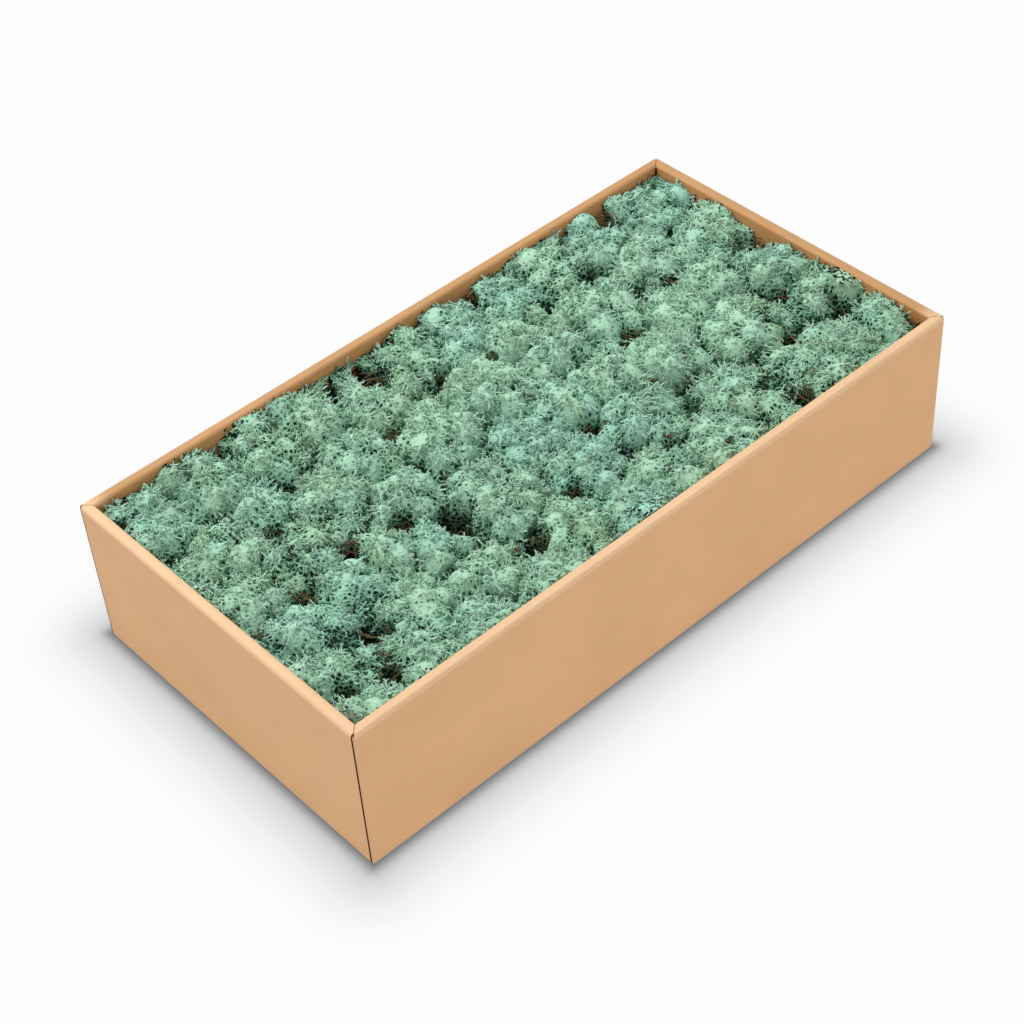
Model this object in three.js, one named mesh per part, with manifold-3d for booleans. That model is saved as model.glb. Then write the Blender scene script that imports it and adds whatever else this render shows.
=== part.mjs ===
// A folded cardboard tray filled with preserved reindeer moss.
// Units are millimetres and +Z is up. The origin is at the middle of the tray's underside, with +X
// along the long side. The tray is one folded blank with roll-over double walls. The moss is a
// crowd of loose heads that stand on the tray's floor, each a crown of lobes covered in branch tips.
import * as THREE from "three";
import { mergeVertices } from "three/addons/utils/BufferGeometryUtils.js";
import Module from "manifold-3d";

const wasm = await Module();
wasm.setup();

// The tray.
const LENGTH = 570;
const WIDTH = 300;
const HEIGHT = 130;
const BOARD = 1.6;
const RIM = 8.5;
const FOLD_RADIUS = 2.4;
const FOLD_STEPS = 2;
const SLIT = 1;
const MITRE_SLIT = 0.5;
const INNER_CORNER_GAP = 1.3;
const FLAP_LENGTH = 60;
const FLAP_THICKNESS = 2.3;
const CLEARANCE = 0.3;
// How far a cut or an added flap runs past the face it meets.
const SINK = 0.1;
// What stands in the tray starts this high.
const FLOOR = BOARD + CLEARANCE;

// The moss. A head's crown falls from its top to the edge of its room, by more beside a hollow, and
// climbs a little where it leans on a wall of the tray. Lobes rise from the crown, and branch tips
// rise over the lobes.
const HEAD_GAP = 0.4;
const CREASE_DROP = 10;
const WALL_DROP = -3;
const HOLLOW_DROP = 18;
const CROWN_POWER = 2.5;
const WAIST_SHARE = 1.3;
const WAIST_HEIGHT = 70;
const FOOT_SHARE = 0.42;
const LOBES = 9;
const LOBE_OUTWARDS = 0.9;
const LOBE_RADIUS = 12;
const LOBE_RADIUS_SPREAD = 4;
const LOBE_RISE = 5;
const LOBE_RISE_SPREAD = 2.5;
const GOLDEN_ANGLE = Math.PI * (3 - Math.sqrt(5));
const TIP_RISE = 6;
const EDGE_RISE = 3;
const TIP_SPREAD = 2;

// How far out the rings of valleys between the tips lie, from a head's axis to the edge of its room.
const RING_SHARE = [0, 0.33, 0.66, 0.98];
const RING_JITTER = 0.25;

// Each head: x, y, its share of the tray as a radius, and the height of its top.
const HEADS = [
  [-252, 106, 35, 123],
  [-200, 114, 32, 124],
  [-150, 110, 32, 124],
  [-106, 114, 31, 125],
  [-62, 96, 32, 124],
  [-16, 108, 33, 125],
  [36, 110, 33, 125],
  [88, 108, 31, 123],
  [138, 120, 32, 126],
  [186, 112, 30, 124],
  [243, 114, 35, 123],
  [-232, 51, 33, 126],
  [-184, 72, 29, 125],
  [-152, 40, 31, 127],
  [-104, 64, 35, 125],
  [-52, 36, 36, 128],
  [8, 50, 37, 128],
  [58, 84, 29, 123],
  [74, 46, 31, 124],
  [128, 58, 36, 128],
  [204, 80, 35, 126],
  [258, 66, 32, 124],
  [-252, 6, 31, 124],
  [-196, 14, 32, 127],
  [-108, 12, 30, 123],
  [-62, -16, 29, 121],
  [-10, -14, 28, 126],
  [36, -4, 29, 127],
  [82, -2, 29, 126],
  [128, -14, 33, 125],
  [172, 12, 32, 125],
  [216, 26, 33, 126],
  [256, -6, 31, 126],
  [-236, -46, 33, 127],
  [-192, -36, 30, 128],
  [-154, -28, 27, 127],
  [-122, -50, 27, 126],
  [-66, -52, 31, 127],
  [0, -62, 31, 125],
  [64, -54, 36, 127],
  [190, -38, 35, 127],
  [254, -52, 32, 126],
  [-250, -92, 28, 124],
  [-176, -80, 32, 124],
  [-120, -90, 33, 126],
  [-250, -127, 22, 125],
  [-202, -118, 31, 125],
  [-152, -124, 30, 124],
  [-94, -126, 28, 125],
  [-48, -98, 33, 126],
  [-6, -122, 29, 126],
  [36, -102, 31, 125],
  [84, -116, 32, 126],
  [132, -90, 35, 126],
  [186, -102, 35, 126],
  [228, -102, 31, 125],
  [264, -106, 25, 125],
];

// Each deep gap between the heads: x, y and radius.
const HOLLOWS = [
  [-98, -30, 10],
  [-108, -46, 8],
  [-129, -12, 8],
  [-171, -7, 7],
  [-222, -20, 8],
  [-204, -81, 8],
  [-229, -118, 8],
  [-258, -109, 8],
  [-160, 78, 6],
  [-198, 44, 6],
  [-44, 122, 9],
  [-72, 60, 6],
  [-6, 88, 5],
  [66, 134, 7],
  [36, 76, 5],
  [79, 23, 6],
  [33, -36, 7],
  [-23, -74, 6],
  [-72, -94, 6],
  [56, -90, 6],
  [106, 90, 6],
  [152, 92, 8],
  [208, 132, 8],
  [168, 58, 6],
  [192, 42, 5],
  [126, 20, 6],
  [236, -32, 7],
  [206, -70, 8],
  [253, -76, 6],
  [160, -124, 7],
  [274, 24, 6],
];

// Dead twigs caught upright between the heads. Each branch is a list of points chosen by hand, in
// the tray's frame, and the first branch stands on the tray's floor.
const TWIG_RADIUS = 1.3;
const TWIGS = [
  [
    [[-99, -31, FLOOR], [-99, -31, 40], [-99.5, -32, 84], [-102, -38, 102], [-108, -47, 109]],
    [[-99.4, -32, 80], [-97, -30, 92], [-93, -27, 102]],
  ],
  [
    [[-129, -12, FLOOR], [-129, -12, 40], [-129, -12.5, 88], [-131, -13, 104], [-134, -13, 112]],
    [[-129, -12.4, 84], [-127, -10.5, 96], [-124.5, -9, 107]],
  ],
];

// A closed mesh as a manifold-3d solid.
function solidOf(geometry) {
  const bare = geometry.clone();
  bare.deleteAttribute("normal");
  bare.deleteAttribute("uv");
  const merged = mergeVertices(bare, 1e-3);
  return new wasm.Manifold(
    new wasm.Mesh({
      numProp: 3,
      vertProperties: merged.attributes.position.array,
      triVerts: new Uint32Array(merged.index.array),
    }),
  );
}

// A manifold-3d solid as a flat-shaded geometry.
function geometryOf(solid) {
  const mesh = solid.getMesh();
  const indexed = new THREE.BufferGeometry();
  indexed.setAttribute("position", new THREE.BufferAttribute(mesh.vertProperties, 3));
  indexed.setIndex(new THREE.BufferAttribute(mesh.triVerts, 1));
  const geometry = indexed.toNonIndexed();
  geometry.computeVertexNormals();
  return geometry;
}

// A box between two corners.
function boxBetween(low, high) {
  const size = high.map((value, axis) => value - low[axis]);
  const box = new THREE.BoxGeometry(...size);
  box.translate(...low.map((value, axis) => value + size[axis] / 2));
  return solidOf(box);
}

// The section of one roll-over wall: x runs inwards from the wall's outer face and y runs up. The
// board rises from the base, turns over the rim and comes down on the inside to just above the base.
function wallSection() {
  const inside = FOLD_RADIUS - BOARD;
  const under = HEIGHT - BOARD;
  const fold = HEIGHT - FOLD_RADIUS;
  const quarter = Math.PI / 2;
  const path = new THREE.Path();
  path.moveTo(FOLD_RADIUS, 0);
  path.absarc(FOLD_RADIUS, FOLD_RADIUS, FOLD_RADIUS, 3 * quarter, 2 * quarter, true);
  path.lineTo(0, fold);
  path.absarc(FOLD_RADIUS, fold, FOLD_RADIUS, 2 * quarter, quarter, true);
  path.absarc(RIM - FOLD_RADIUS, fold, FOLD_RADIUS, quarter, 0, true);
  path.lineTo(RIM, FLOOR);
  path.lineTo(RIM - BOARD, FLOOR);
  path.absarc(RIM - BOARD - inside, under - inside, inside, 0, quarter, false);
  path.absarc(BOARD + inside, under - inside, inside, quarter, 2 * quarter, false);
  path.lineTo(BOARD, BOARD);
  return path.getPoints(FOLD_STEPS);
}

// The tray's outline at a distance inwards from its outer faces: a rectangle whose corners keep
// what is left of the folds' radius.
function outlineAt(inwards, height) {
  const radius = Math.max(0, FOLD_RADIUS - inwards);
  const x = LENGTH / 2 - inwards - radius;
  const y = WIDTH / 2 - inwards - radius;
  const steps = 2 * FOLD_STEPS;
  const corners = [[x, y], [-x, y], [-x, -y], [x, -y]];
  return corners.flatMap(([cx, cy], corner) =>
    Array.from({ length: steps + 1 }, (unused, step) => {
      const angle = (corner + step / steps) * (Math.PI / 2);
      const [dx, dy] = [radius * Math.cos(angle), radius * Math.sin(angle)];
      return new THREE.Vector3(cx + dx, cy + dy, height);
    }),
  );
}

// The base and the four walls in one: the wall's section carried round the tray's outline, closed
// by the base's two faces.
function foldedBlank() {
  const outlines = wallSection().map((point) => outlineAt(point.x, point.y));
  const points = [];
  const addFace = (...corners) => {
    const apart = corners.every((corner, index) => corner.distanceTo(corners[(index + 1) % 3]) > 1e-3);
    if (apart) points.push(...corners);
  };
  outlines.slice(1).forEach((above, index) => {
    const below = outlines[index];
    above.forEach((corner, step) => {
      const next = (step + 1) % above.length;
      addFace(below[step], below[next], above[next]);
      addFace(below[step], above[next], corner);
    });
  });
  const underside = outlines[0];
  const topside = outlines[outlines.length - 1];
  for (let step = 1; step < topside.length - 1; step += 1) {
    addFace(underside[0], underside[step + 1], underside[step]);
    addFace(topside[0], topside[step], topside[step + 1]);
  }
  return solidOf(new THREE.BufferGeometry().setFromPoints(points));
}

// What is cut out at the +X, +Y corner: the slit beside the end wall's outer panel, the gap between
// the two inner panels, and the slit along the rim's mitre.
function cornerCuts() {
  const [x, y] = [LENGTH / 2, WIDTH / 2];
  const rimZone = HEIGHT - FOLD_RADIUS - 0.2;
  const slit = boxBetween(
    [x - BOARD - SINK, y - BOARD - SLIT, FOLD_RADIUS + CLEARANCE],
    [x + 1, y - BOARD + SINK, rimZone],
  );
  const gap = boxBetween(
    [x - RIM - INNER_CORNER_GAP, y - RIM - INNER_CORNER_GAP, FLOOR - SINK],
    [x - RIM + BOARD + SINK, y - RIM + BOARD + SINK, rimZone],
  );
  const reach = 2 * RIM;
  const mitre = new THREE.BoxGeometry(2 * reach, MITRE_SLIT, FOLD_RADIUS + 2);
  mitre.rotateZ(Math.PI / 4);
  mitre.translate(x - RIM / 2, y - RIM / 2, HEIGHT + 1 - FOLD_RADIUS / 2);
  return slit.add(gap).add(solidOf(mitre));
}

// The whole tray: the folded blank with its corners slit, and the long walls' four corner flaps
// inside the end walls.
function makeTray() {
  const flapEnd = LENGTH / 2 - BOARD - CLEARANCE;
  const flapStart = flapEnd - FLAP_THICKNESS;
  const flap = boxBetween(
    [flapStart, WIDTH / 2 - FLAP_LENGTH, FLOOR],
    [flapEnd, WIDTH / 2 - BOARD + SINK, HEIGHT - FOLD_RADIUS - 1],
  );
  const cuts = cornerCuts();
  let tray = foldedBlank();
  for (const acrossX of [false, true]) {
    for (const acrossY of [false, true]) {
      const placed = (solid) => {
        const sided = acrossX ? solid.mirror([1, 0, 0]) : solid;
        return acrossY ? sided.mirror([0, 1, 0]) : sided;
      };
      tray = tray.subtract(placed(cuts)).add(placed(flap));
    }
  }
  return geometryOf(tray);
}

// A repeatable random number from 0 to 1 for one draw of one head.
function draw(head, item) {
  const wave = Math.sin(head * 127.1 + item * 311.7) * 43758.5453;
  return wave - Math.floor(wave);
}

// How far a head may spread level along a direction before it meets a neighbour, a wall of the
// tray or a hollow, and how far its crown drops there. Neighbours share the ground by the power of
// their circles.
function levelRoom(head, ux, uy) {
  const [x, y, share] = HEADS[head];
  const wallX = LENGTH / 2 - RIM - CLEARANCE;
  const wallY = WIDTH / 2 - RIM - CLEARANCE;
  let room = WAIST_SHARE * share;
  let drop = CREASE_DROP;
  const narrow = (reach, fall) => {
    if (reach < room) [room, drop] = [reach, fall];
  };
  HEADS.forEach(([ox, oy, other], index) => {
    const apart = Math.hypot(ox - x, oy - y);
    const facing = (ux * (ox - x) + uy * (oy - y)) / (apart || 1);
    if (index === head || facing <= 0) return;
    const plane = (apart * apart + share * share - other * other) / (2 * apart) - HEAD_GAP / 2;
    narrow(plane / facing, CREASE_DROP);
  });
  if (ux !== 0) narrow((wallX - Math.sign(ux) * x) / Math.abs(ux), WALL_DROP);
  if (uy !== 0) narrow((wallY - Math.sign(uy) * y) / Math.abs(uy), WALL_DROP);
  for (const [hx, hy, radius] of HOLLOWS) {
    const along = ux * (hx - x) + uy * (hy - y);
    const left = radius * radius - (hx - x) ** 2 - (hy - y) ** 2 + along * along;
    if (along > 0 && left > 0) narrow(along - Math.sqrt(left), HOLLOW_DROP);
  }
  return { room, drop };
}

// How far a head's crown lies below its top at a point of the plan, and how much of its room that
// point leaves.
function crownFall(head, x, y) {
  const level = Math.hypot(x, y) || 1e-9;
  const { room, drop } = levelRoom(head, x / level, y / level);
  return { fall: LOBE_RISE + drop * Math.min(1, level / room) ** CROWN_POWER, room, level };
}

// The lobes of a head: spheres laid out from its axis by the golden angle, each rising from the
// crown under its centre. Heights are counted down from the head's top.
function lobesOf(head) {
  const share = HEADS[head][2];
  return Array.from({ length: LOBES }, (unused, item) => {
    const azimuth = (item + draw(head, 99)) * GOLDEN_ANGLE + 0.5 * draw(head, 4 * item + 1);
    const outwards = Math.sqrt((item + 0.2 + 0.6 * draw(head, 4 * item)) / LOBES);
    const [ux, uy] = [Math.cos(azimuth), Math.sin(azimuth)];
    const level = LOBE_OUTWARDS * outwards * Math.min(share, levelRoom(head, ux, uy).room);
    const radius = LOBE_RADIUS + LOBE_RADIUS_SPREAD * draw(head, 4 * item + 2);
    const { fall } = crownFall(head, level * ux, level * uy);
    const depth = fall - LOBE_RISE + LOBE_RISE_SPREAD * draw(head, 4 * item + 3);
    return { x: level * ux, y: level * uy, radius, depth };
  });
}

// How far a head's lobed surface lies below its top at a point of the plan.
function surfaceFall(head, lobes, x, y) {
  let { fall } = crownFall(head, x, y);
  for (const lobe of lobes) {
    const left = lobe.radius ** 2 - (x - lobe.x) ** 2 - (y - lobe.y) ** 2;
    if (left > 0) fall = Math.min(fall, lobe.depth + lobe.radius - Math.sqrt(left));
  }
  return fall;
}

// One moss head about the foot of its own axis. Rings of valleys are laid from the axis to the edge
// of the head's room, each facet between them is raised to a three-sided branch tip, and the edge
// drops to a level waist and down to a foot.
function mossHead(head) {
  const [, , share, top] = HEADS[head];
  const lobes = lobesOf(head);
  const phase = draw(head, 98) * Math.PI;
  const points = [];
  const faces = [];

  function addPoint(x, y, height) {
    points.push(new THREE.Vector3(x, y, height));
    return points.length - 1;
  }

  // Adds a point of the lobed surface over a point of the plan held inside the room, with a lift.
  function place(x, y, lift) {
    const { room, level } = crownFall(head, x, y);
    const inside = Math.min(1, (RING_SHARE[RING_SHARE.length - 1] * room) / level);
    const fall = surfaceFall(head, lobes, inside * x, inside * y);
    return addPoint(inside * x, inside * y, top - FLOOR - fall + lift);
  }

  const rings = RING_SHARE.map((outwards, ring) => {
    const count = Math.max(1, 6 * ring);
    const last = ring === RING_SHARE.length - 1;
    const loose = ring > 0 && !last ? RING_JITTER : 0;
    return Array.from({ length: count }, (unused, step) => {
      const item = 200 + 40 * ring + step;
      const turn = step + loose * (draw(head, item) - 0.5);
      const azimuth = phase + (2 * Math.PI * turn) / count;
      const [ux, uy] = [Math.cos(azimuth), Math.sin(azimuth)];
      const jitter = 1 + loose * (draw(head, item + 400) - 0.5);
      const level = outwards * jitter * levelRoom(head, ux, uy).room;
      return place(level * ux, level * uy, last ? -EDGE_RISE : -TIP_RISE);
    });
  });

  // Three faces that meet in a tip raised over a point inside the facet.
  function addTip(a, b, c) {
    const item = 1000 + 3 * faces.length;
    const weights = [a, b, c].map((unused, corner) => 0.6 + draw(head, item + corner));
    const total = weights[0] + weights[1] + weights[2];
    const tip = new THREE.Vector3();
    [a, b, c].forEach((corner, index) => {
      tip.addScaledVector(points[corner], weights[index] / total);
    });
    const apex = place(tip.x, tip.y, TIP_SPREAD * (draw(head, item + 3) - 0.5));
    faces.push([a, b, apex], [b, c, apex], [c, a, apex]);
  }

  rings.slice(1).forEach((outer, index) => {
    const ring = index + 1;
    const inner = rings[index];
    for (let sector = 0; sector < 6; sector += 1) {
      for (let step = 0; step < ring; step += 1) {
        const out = (offset) => outer[(sector * ring + step + offset) % outer.length];
        const into = (offset) => inner[(sector * index + step + offset) % inner.length];
        addTip(out(0), out(1), into(0));
        if (step < ring - 1) addTip(into(0), out(1), into(1));
      }
    }
  });

  // The waist lies under the last ring, and the foot has half as many points.
  const edge = rings[rings.length - 1];
  const azimuthOf = (step) => phase + (2 * Math.PI * step) / edge.length;
  const levelPoint = (azimuth, radius, height) =>
    addPoint(radius * Math.cos(azimuth), radius * Math.sin(azimuth), height);
  const waist = edge.map((unused, step) => {
    const azimuth = azimuthOf(step);
    const { room } = levelRoom(head, Math.cos(azimuth), Math.sin(azimuth));
    return levelPoint(azimuth, room, WAIST_HEIGHT);
  });
  const foot = edge
    .filter((unused, step) => step % 2 === 0)
    .map((unused, step) => levelPoint(azimuthOf(2 * step), FOOT_SHARE * share, 0));
  edge.forEach((high, step) => {
    const next = (step + 1) % edge.length;
    faces.push([waist[step], waist[next], high], [waist[next], edge[next], high]);
  });
  foot.forEach((low, step) => {
    const next = foot[(step + 1) % foot.length];
    const [a, b, c] = [0, 1, 2].map((offset) => waist[(2 * step + offset) % waist.length]);
    faces.push([low, b, a], [low, next, b], [next, c, b]);
    if (step > 0 && step < foot.length - 1) faces.push([foot[0], next, low]);
  });

  const geometry = new THREE.BufferGeometry();
  geometry.setFromPoints(faces.flat().map((index) => points[index]));
  geometry.computeVertexNormals();
  return geometry;
}

// A forked twig: branches of an even six-sided section, joined in one solid.
function makeTwig(branches) {
  const section = new THREE.Shape();
  section.absarc(0, 0, TWIG_RADIUS, 0, 2 * Math.PI, false);
  const solids = branches.map((points) => {
    const path = new THREE.CatmullRomCurve3(points.map((point) => new THREE.Vector3(...point)));
    const options = { steps: 2 * points.length, curveSegments: 3, extrudePath: path };
    return solidOf(new THREE.ExtrudeGeometry(section, options));
  });
  return geometryOf(solids.reduce((joined, branch) => joined.add(branch)));
}

const boardMaterial = new THREE.MeshStandardMaterial({ color: "#d0a478", roughness: 0.85 });
const twigMaterial = new THREE.MeshStandardMaterial({ color: "#6e4a2c", roughness: 0.9 });
const mossMaterials = ["#93b9a0", "#8cb8a8", "#a3c6ab"].map(
  (color) => new THREE.MeshStandardMaterial({ color, roughness: 0.9, flatShading: true }),
);

const filledTray = new THREE.Group();

function addNode(name, geometry, material, position = [0, 0, 0]) {
  const mesh = new THREE.Mesh(geometry, material);
  mesh.name = name;
  mesh.position.set(...position);
  filledTray.add(mesh);
}

addNode("tray", makeTray(), boardMaterial);
HEADS.forEach(([x, y], head) => {
  const name = `moss_head_${String(head + 1).padStart(2, "0")}`;
  const material = mossMaterials[Math.floor(3 * draw(head, 97))];
  addNode(name, mossHead(head), material, [x, y, FLOOR]);
});
TWIGS.forEach((branches, index) => {
  addNode(`dead_twig_${index + 1}`, makeTwig(branches), twigMaterial);
});

export default filledTray;
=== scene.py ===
"""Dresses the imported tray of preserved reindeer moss: branches, twigs, needles, board, stage.

Run as a script. Lengths are in metres, in the CAD model's frame: the origin is under the middle of
the tray, +X runs along its long side and +Z is up.
"""

import math

import bpy
import numpy as np
from mathutils import Matrix, Vector


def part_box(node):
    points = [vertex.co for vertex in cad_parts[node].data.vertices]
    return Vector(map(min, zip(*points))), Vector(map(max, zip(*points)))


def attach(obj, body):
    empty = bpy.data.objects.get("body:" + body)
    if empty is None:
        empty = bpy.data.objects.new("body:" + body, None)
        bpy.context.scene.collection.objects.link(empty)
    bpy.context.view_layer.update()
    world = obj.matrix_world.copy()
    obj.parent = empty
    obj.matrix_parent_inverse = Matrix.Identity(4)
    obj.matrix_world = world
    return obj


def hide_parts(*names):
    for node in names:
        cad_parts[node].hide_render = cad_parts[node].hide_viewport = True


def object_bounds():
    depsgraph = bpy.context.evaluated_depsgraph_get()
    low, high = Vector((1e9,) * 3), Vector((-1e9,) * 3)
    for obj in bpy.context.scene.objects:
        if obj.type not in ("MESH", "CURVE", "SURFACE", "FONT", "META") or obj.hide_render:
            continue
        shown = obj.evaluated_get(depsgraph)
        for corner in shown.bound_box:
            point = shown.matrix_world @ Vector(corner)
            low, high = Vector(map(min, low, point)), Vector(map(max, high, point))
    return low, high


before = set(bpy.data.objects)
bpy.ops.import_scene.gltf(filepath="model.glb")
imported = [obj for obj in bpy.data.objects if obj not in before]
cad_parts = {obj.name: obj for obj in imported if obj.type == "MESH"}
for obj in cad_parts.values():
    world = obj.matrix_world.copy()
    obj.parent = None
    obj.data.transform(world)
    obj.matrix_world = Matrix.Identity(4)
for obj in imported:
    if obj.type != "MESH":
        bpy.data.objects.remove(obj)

bl_info = {
    "name": "Moss Tray Dresser",
    "version": (1, 0, 0),
    "blender": (4, 5, 0),
    "location": "View3D > Sidebar > Moss Tray",
    "description": "Grows reindeer moss in a folded cardboard tray and sets a studio round it",
    "category": "Add Mesh",
}

MM = 0.001
BODY = "root"
CAD_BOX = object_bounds()
TRAY_LOW, TRAY_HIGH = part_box("tray")

# What keeps a division from being one by nothing, and a direction that few others run along.
LEAST_LENGTH = 1e-12
TINY = 1e-9
LEAST_FACING = 1e-6
SLANT = np.array([0.31, 0.52, 0.79])

# The tray, as the CAD has it.
RIM = 8.5 * MM
BOARD = 1.6 * MM
FOLD_RADIUS = 2.4 * MM
SLIT = 1 * MM
CLEARANCE = 0.3 * MM

# The rule that the CAD's moss heads follow. The rise towards a wall, a drop below nothing, is the
# scene's own.
HEAD_GAP = 0.4 * MM
CREASE_DROP = 10 * MM
WALL_DROP = -6 * MM
HOLLOW_DROP = 18 * MM
CROWN_POWER = 2.5
WAIST_SHARE = 1.3
FILL_SHARE = 1.75
FOOT_SHARE = 0.42
FOOT_SLICE = 0.1 * MM
FOOT_DIGITS = 5
LOBES = 9
LOBE_OUTWARDS = 0.9
LOBE_RADIUS = 12 * MM
LOBE_RADIUS_SPREAD = 4 * MM
LOBE_RISE = 5 * MM
LOBE_RISE_SPREAD = 2.5 * MM
LOBE_TWIST = 0.5
LOBE_STEP = (0.2, 0.6)
GOLDEN_ANGLE = math.pi * (3 - math.sqrt(5))

# The sine that the repeatable draws come from, how many draws a lobe takes, and which draw of a head
# each other rule takes.
DRAW_WAVE = (127.1, 311.7)
DRAW_SCALE = 43758.5453
LOBE_DRAWS = 4
TURN_DRAW = 99
KIND_DRAW = 97
CREASE_DRAW = 96
SINK_DRAW = 95

# Each deep gap between the heads: x, y and radius in millimetres, as the CAD has them.
HOLLOWS = np.array([
    (-98, -30, 10), (-108, -46, 8), (-129, -12, 8), (-171, -7, 7), (-222, -20, 8),
    (-204, -81, 8), (-229, -118, 8), (-258, -109, 8), (-160, 78, 6), (-198, 44, 6),
    (-44, 122, 9), (-72, 60, 6), (-6, 88, 5), (66, 134, 7), (36, 76, 5), (79, 23, 6),
    (33, -36, 7), (-23, -74, 6), (-72, -94, 6), (56, -90, 6), (106, 90, 6), (152, 92, 8),
    (208, 132, 8), (168, 58, 6), (192, 42, 5), (126, 20, 6), (236, -32, 7), (206, -70, 8),
    (253, -76, 6), (160, -124, 7), (274, 24, 6),
]) * MM

# How much wider than in the CAD the scene opens each gap: the first three, the main gap, the most.
WIDEST_GAPS = np.arange(len(HOLLOWS)) < 3
HOLLOW_SPARE = np.where(WIDEST_GAPS, 1.55, 1.2)

# The moss's slots in the order that the CAD deals them out in, and each one's tint.
MOSS_SLOTS = (
    ("moss_green", (0.98, 0.98, 0.95)),
    ("moss_blue_green", (0.93, 0.98, 1.0)),
    ("moss_pale_green", (1.0, 1.0, 0.96)),
)

# The knobs that each lobe carries, and how far round the lobe they reach.
KNOBS = 10
KNOB_POLAR = math.radians(108)
KNOB_STRAY = 0.1
KNOB_PROUD = 2.0 * MM
KNOB_RADIUS = 4.8 * MM
KNOB_RADIUS_SPREAD = 3.0 * MM
KNOB_POINTS = 36
KNOB_REACH = math.radians(86)

# How deep the creases between lobes and the valleys between heads are, how far off a wall a valley
# is full, and the share of its length that a branch keeps at a gap's brink.
CREASE_DEPTH = 1 * MM
CREASE_DEPTH_SPREAD = 9 * MM
VALLEY = 1 * MM
VALLEY_SPREAD = 10 * MM
VALLEY_POWER = 5
WALL_REACH = 16 * MM
BRINK_REACH = 6 * MM
BRINK_SHARE = 0.55

# How many places round it a swell is set against, how far off they are and how high a full swell is;
# and how far everything stays under the rim's top.
SWELL_TURNS = 6
KNOB_SWELL = (5 * MM, 2.6 * MM)
LOBE_SWELL = (12 * MM, 6.5 * MM)
HEADROOM = 0.5 * MM

# Where branch roots are laid out, and which are kept.
GRID_REACH = 1.3
JITTER = 0.4
CROWN_LEAN = 0.3
FLANK_START = 2 * MM
FLANK_DEPTH = 26 * MM
FLANK_TILT = 0.25
EDGE_SHARE = 0.98
BURIED = 0.4 * MM
DEEPEST = 34 * MM
DOWNWARD = -0.4
WALL_GAP = 0.8 * MM
OPEN_EDGE = 0.9

# A branch: stations along its stem, and for each spike its station and how far it heads along the
# stem, sideways and up.
STEM_STATIONS = np.array([0.0, 0.3, 0.62, 0.86, 1.0])
STEM_TAPER = np.array([1.0, 1.0, 0.95, 0.8, 0.0])
SPIKES = (
    (2, 0.55, 0.8, 0.4), (2, 0.55, -0.8, 0.4),
    (3, 0.45, 0.9, 0.4), (3, 0.45, -0.9, 0.4),
)
TUBE_SIDES = 3
SPIKE_STEPS = np.array([0.0, 1.0])
SPIKE_TAPER = np.array([0.95, 0.0])
ROOT_SINK = 1.2 * MM
LOOSE = 0.8
UPRIGHT_SHARE = 0.12

# A branch's parts in its lengths, lying and upright where there are two: its rise, its run along
# the surface, its sweep and its perk; and the spreads that they and the spikes are drawn from.
RISE = (0.35, 0.75)
RUN = (0.75, 0.3)
RUN_POWER = 1.3
SWEEP = 0.4
SWEEP_TURN = 2.6
PERK = (-0.15, 0.25)
LENGTH_SPREAD = (0.6, 1.3)
RISE_SPREAD = (0.75, 1.25)
THICK_SPREAD = (0.8, 1.15)
SPIKE_SPREAD = (0.7, 1.3)
SPIKE_RISE_SPREAD = (0.5, 1.5)

# A head's core: the points in a ring, how many rings, their shares of the room, and under the
# outermost one the share and the depth of two more.
CORE_TURNS = 72
CORE_STEPS = 17
CORE_RINGS = np.sqrt(np.linspace(0, 1, CORE_STEPS)) * EDGE_SHARE
CORE_SINK = 0.5 * MM
CORE_LAP = 1.8 * MM
CORE_RIBS = ((0.99, 6 * MM), (0.93, 26 * MM))
CORE_FOOT = 0.9

# How pale the moss is, with painted light and shade in it: what a core and a branch start from,
# the core lower as painted shade between the branches; what swells add as painted light and a tip
# adds; what depth, dim and pale places and a head's border change, as painted shade in the gaps,
# creases and valleys and painted light on the pale places; and how a tip's share grows with its
# root's, so that tips in painted shade stay dark.
CORE_SHADE = -0.16
ROOT_SHADE = 0.1
KNOB_SHADE = 0.48
LOBE_SHADE = 0.8
TIP_SHADE = 0.46
DEPTH_SHADE = 0.085
DIM_SHADE = 0.48
PALE_SHADE = 0.2
EDGE_SHADE = 0.42
TIP_GAIN = 1.8
TIP_LEAST = 0.1

# How much lobes and heads differ in paleness, patch and tint; the seeds' step from head to head; how
# branches dip away from their lobe; and what keeps a tube's side off its line.
LOBE_LIFT = 0.08
HEAD_LIFT = 0.07
PATCH_SPREAD = 0.2
TINT = 0.6
TINT_SPREAD = 0.2
SEED_STEP = 1000
AWAY_DIP = -0.2
ACROSS_NUDGE = 0.01

# Places of the needle tufts: x and y in millimetres.
TUFTS = np.array([
    (93, -38), (32, -73), (60, -84), (80, -128), (174, -117), (-52, -32), (116, -52),
    (203, -128), (-256, 28), (-266, -28), (-223, -24), (-219, -101), (-94, -91), (-267, 122),
]) * MM

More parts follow.
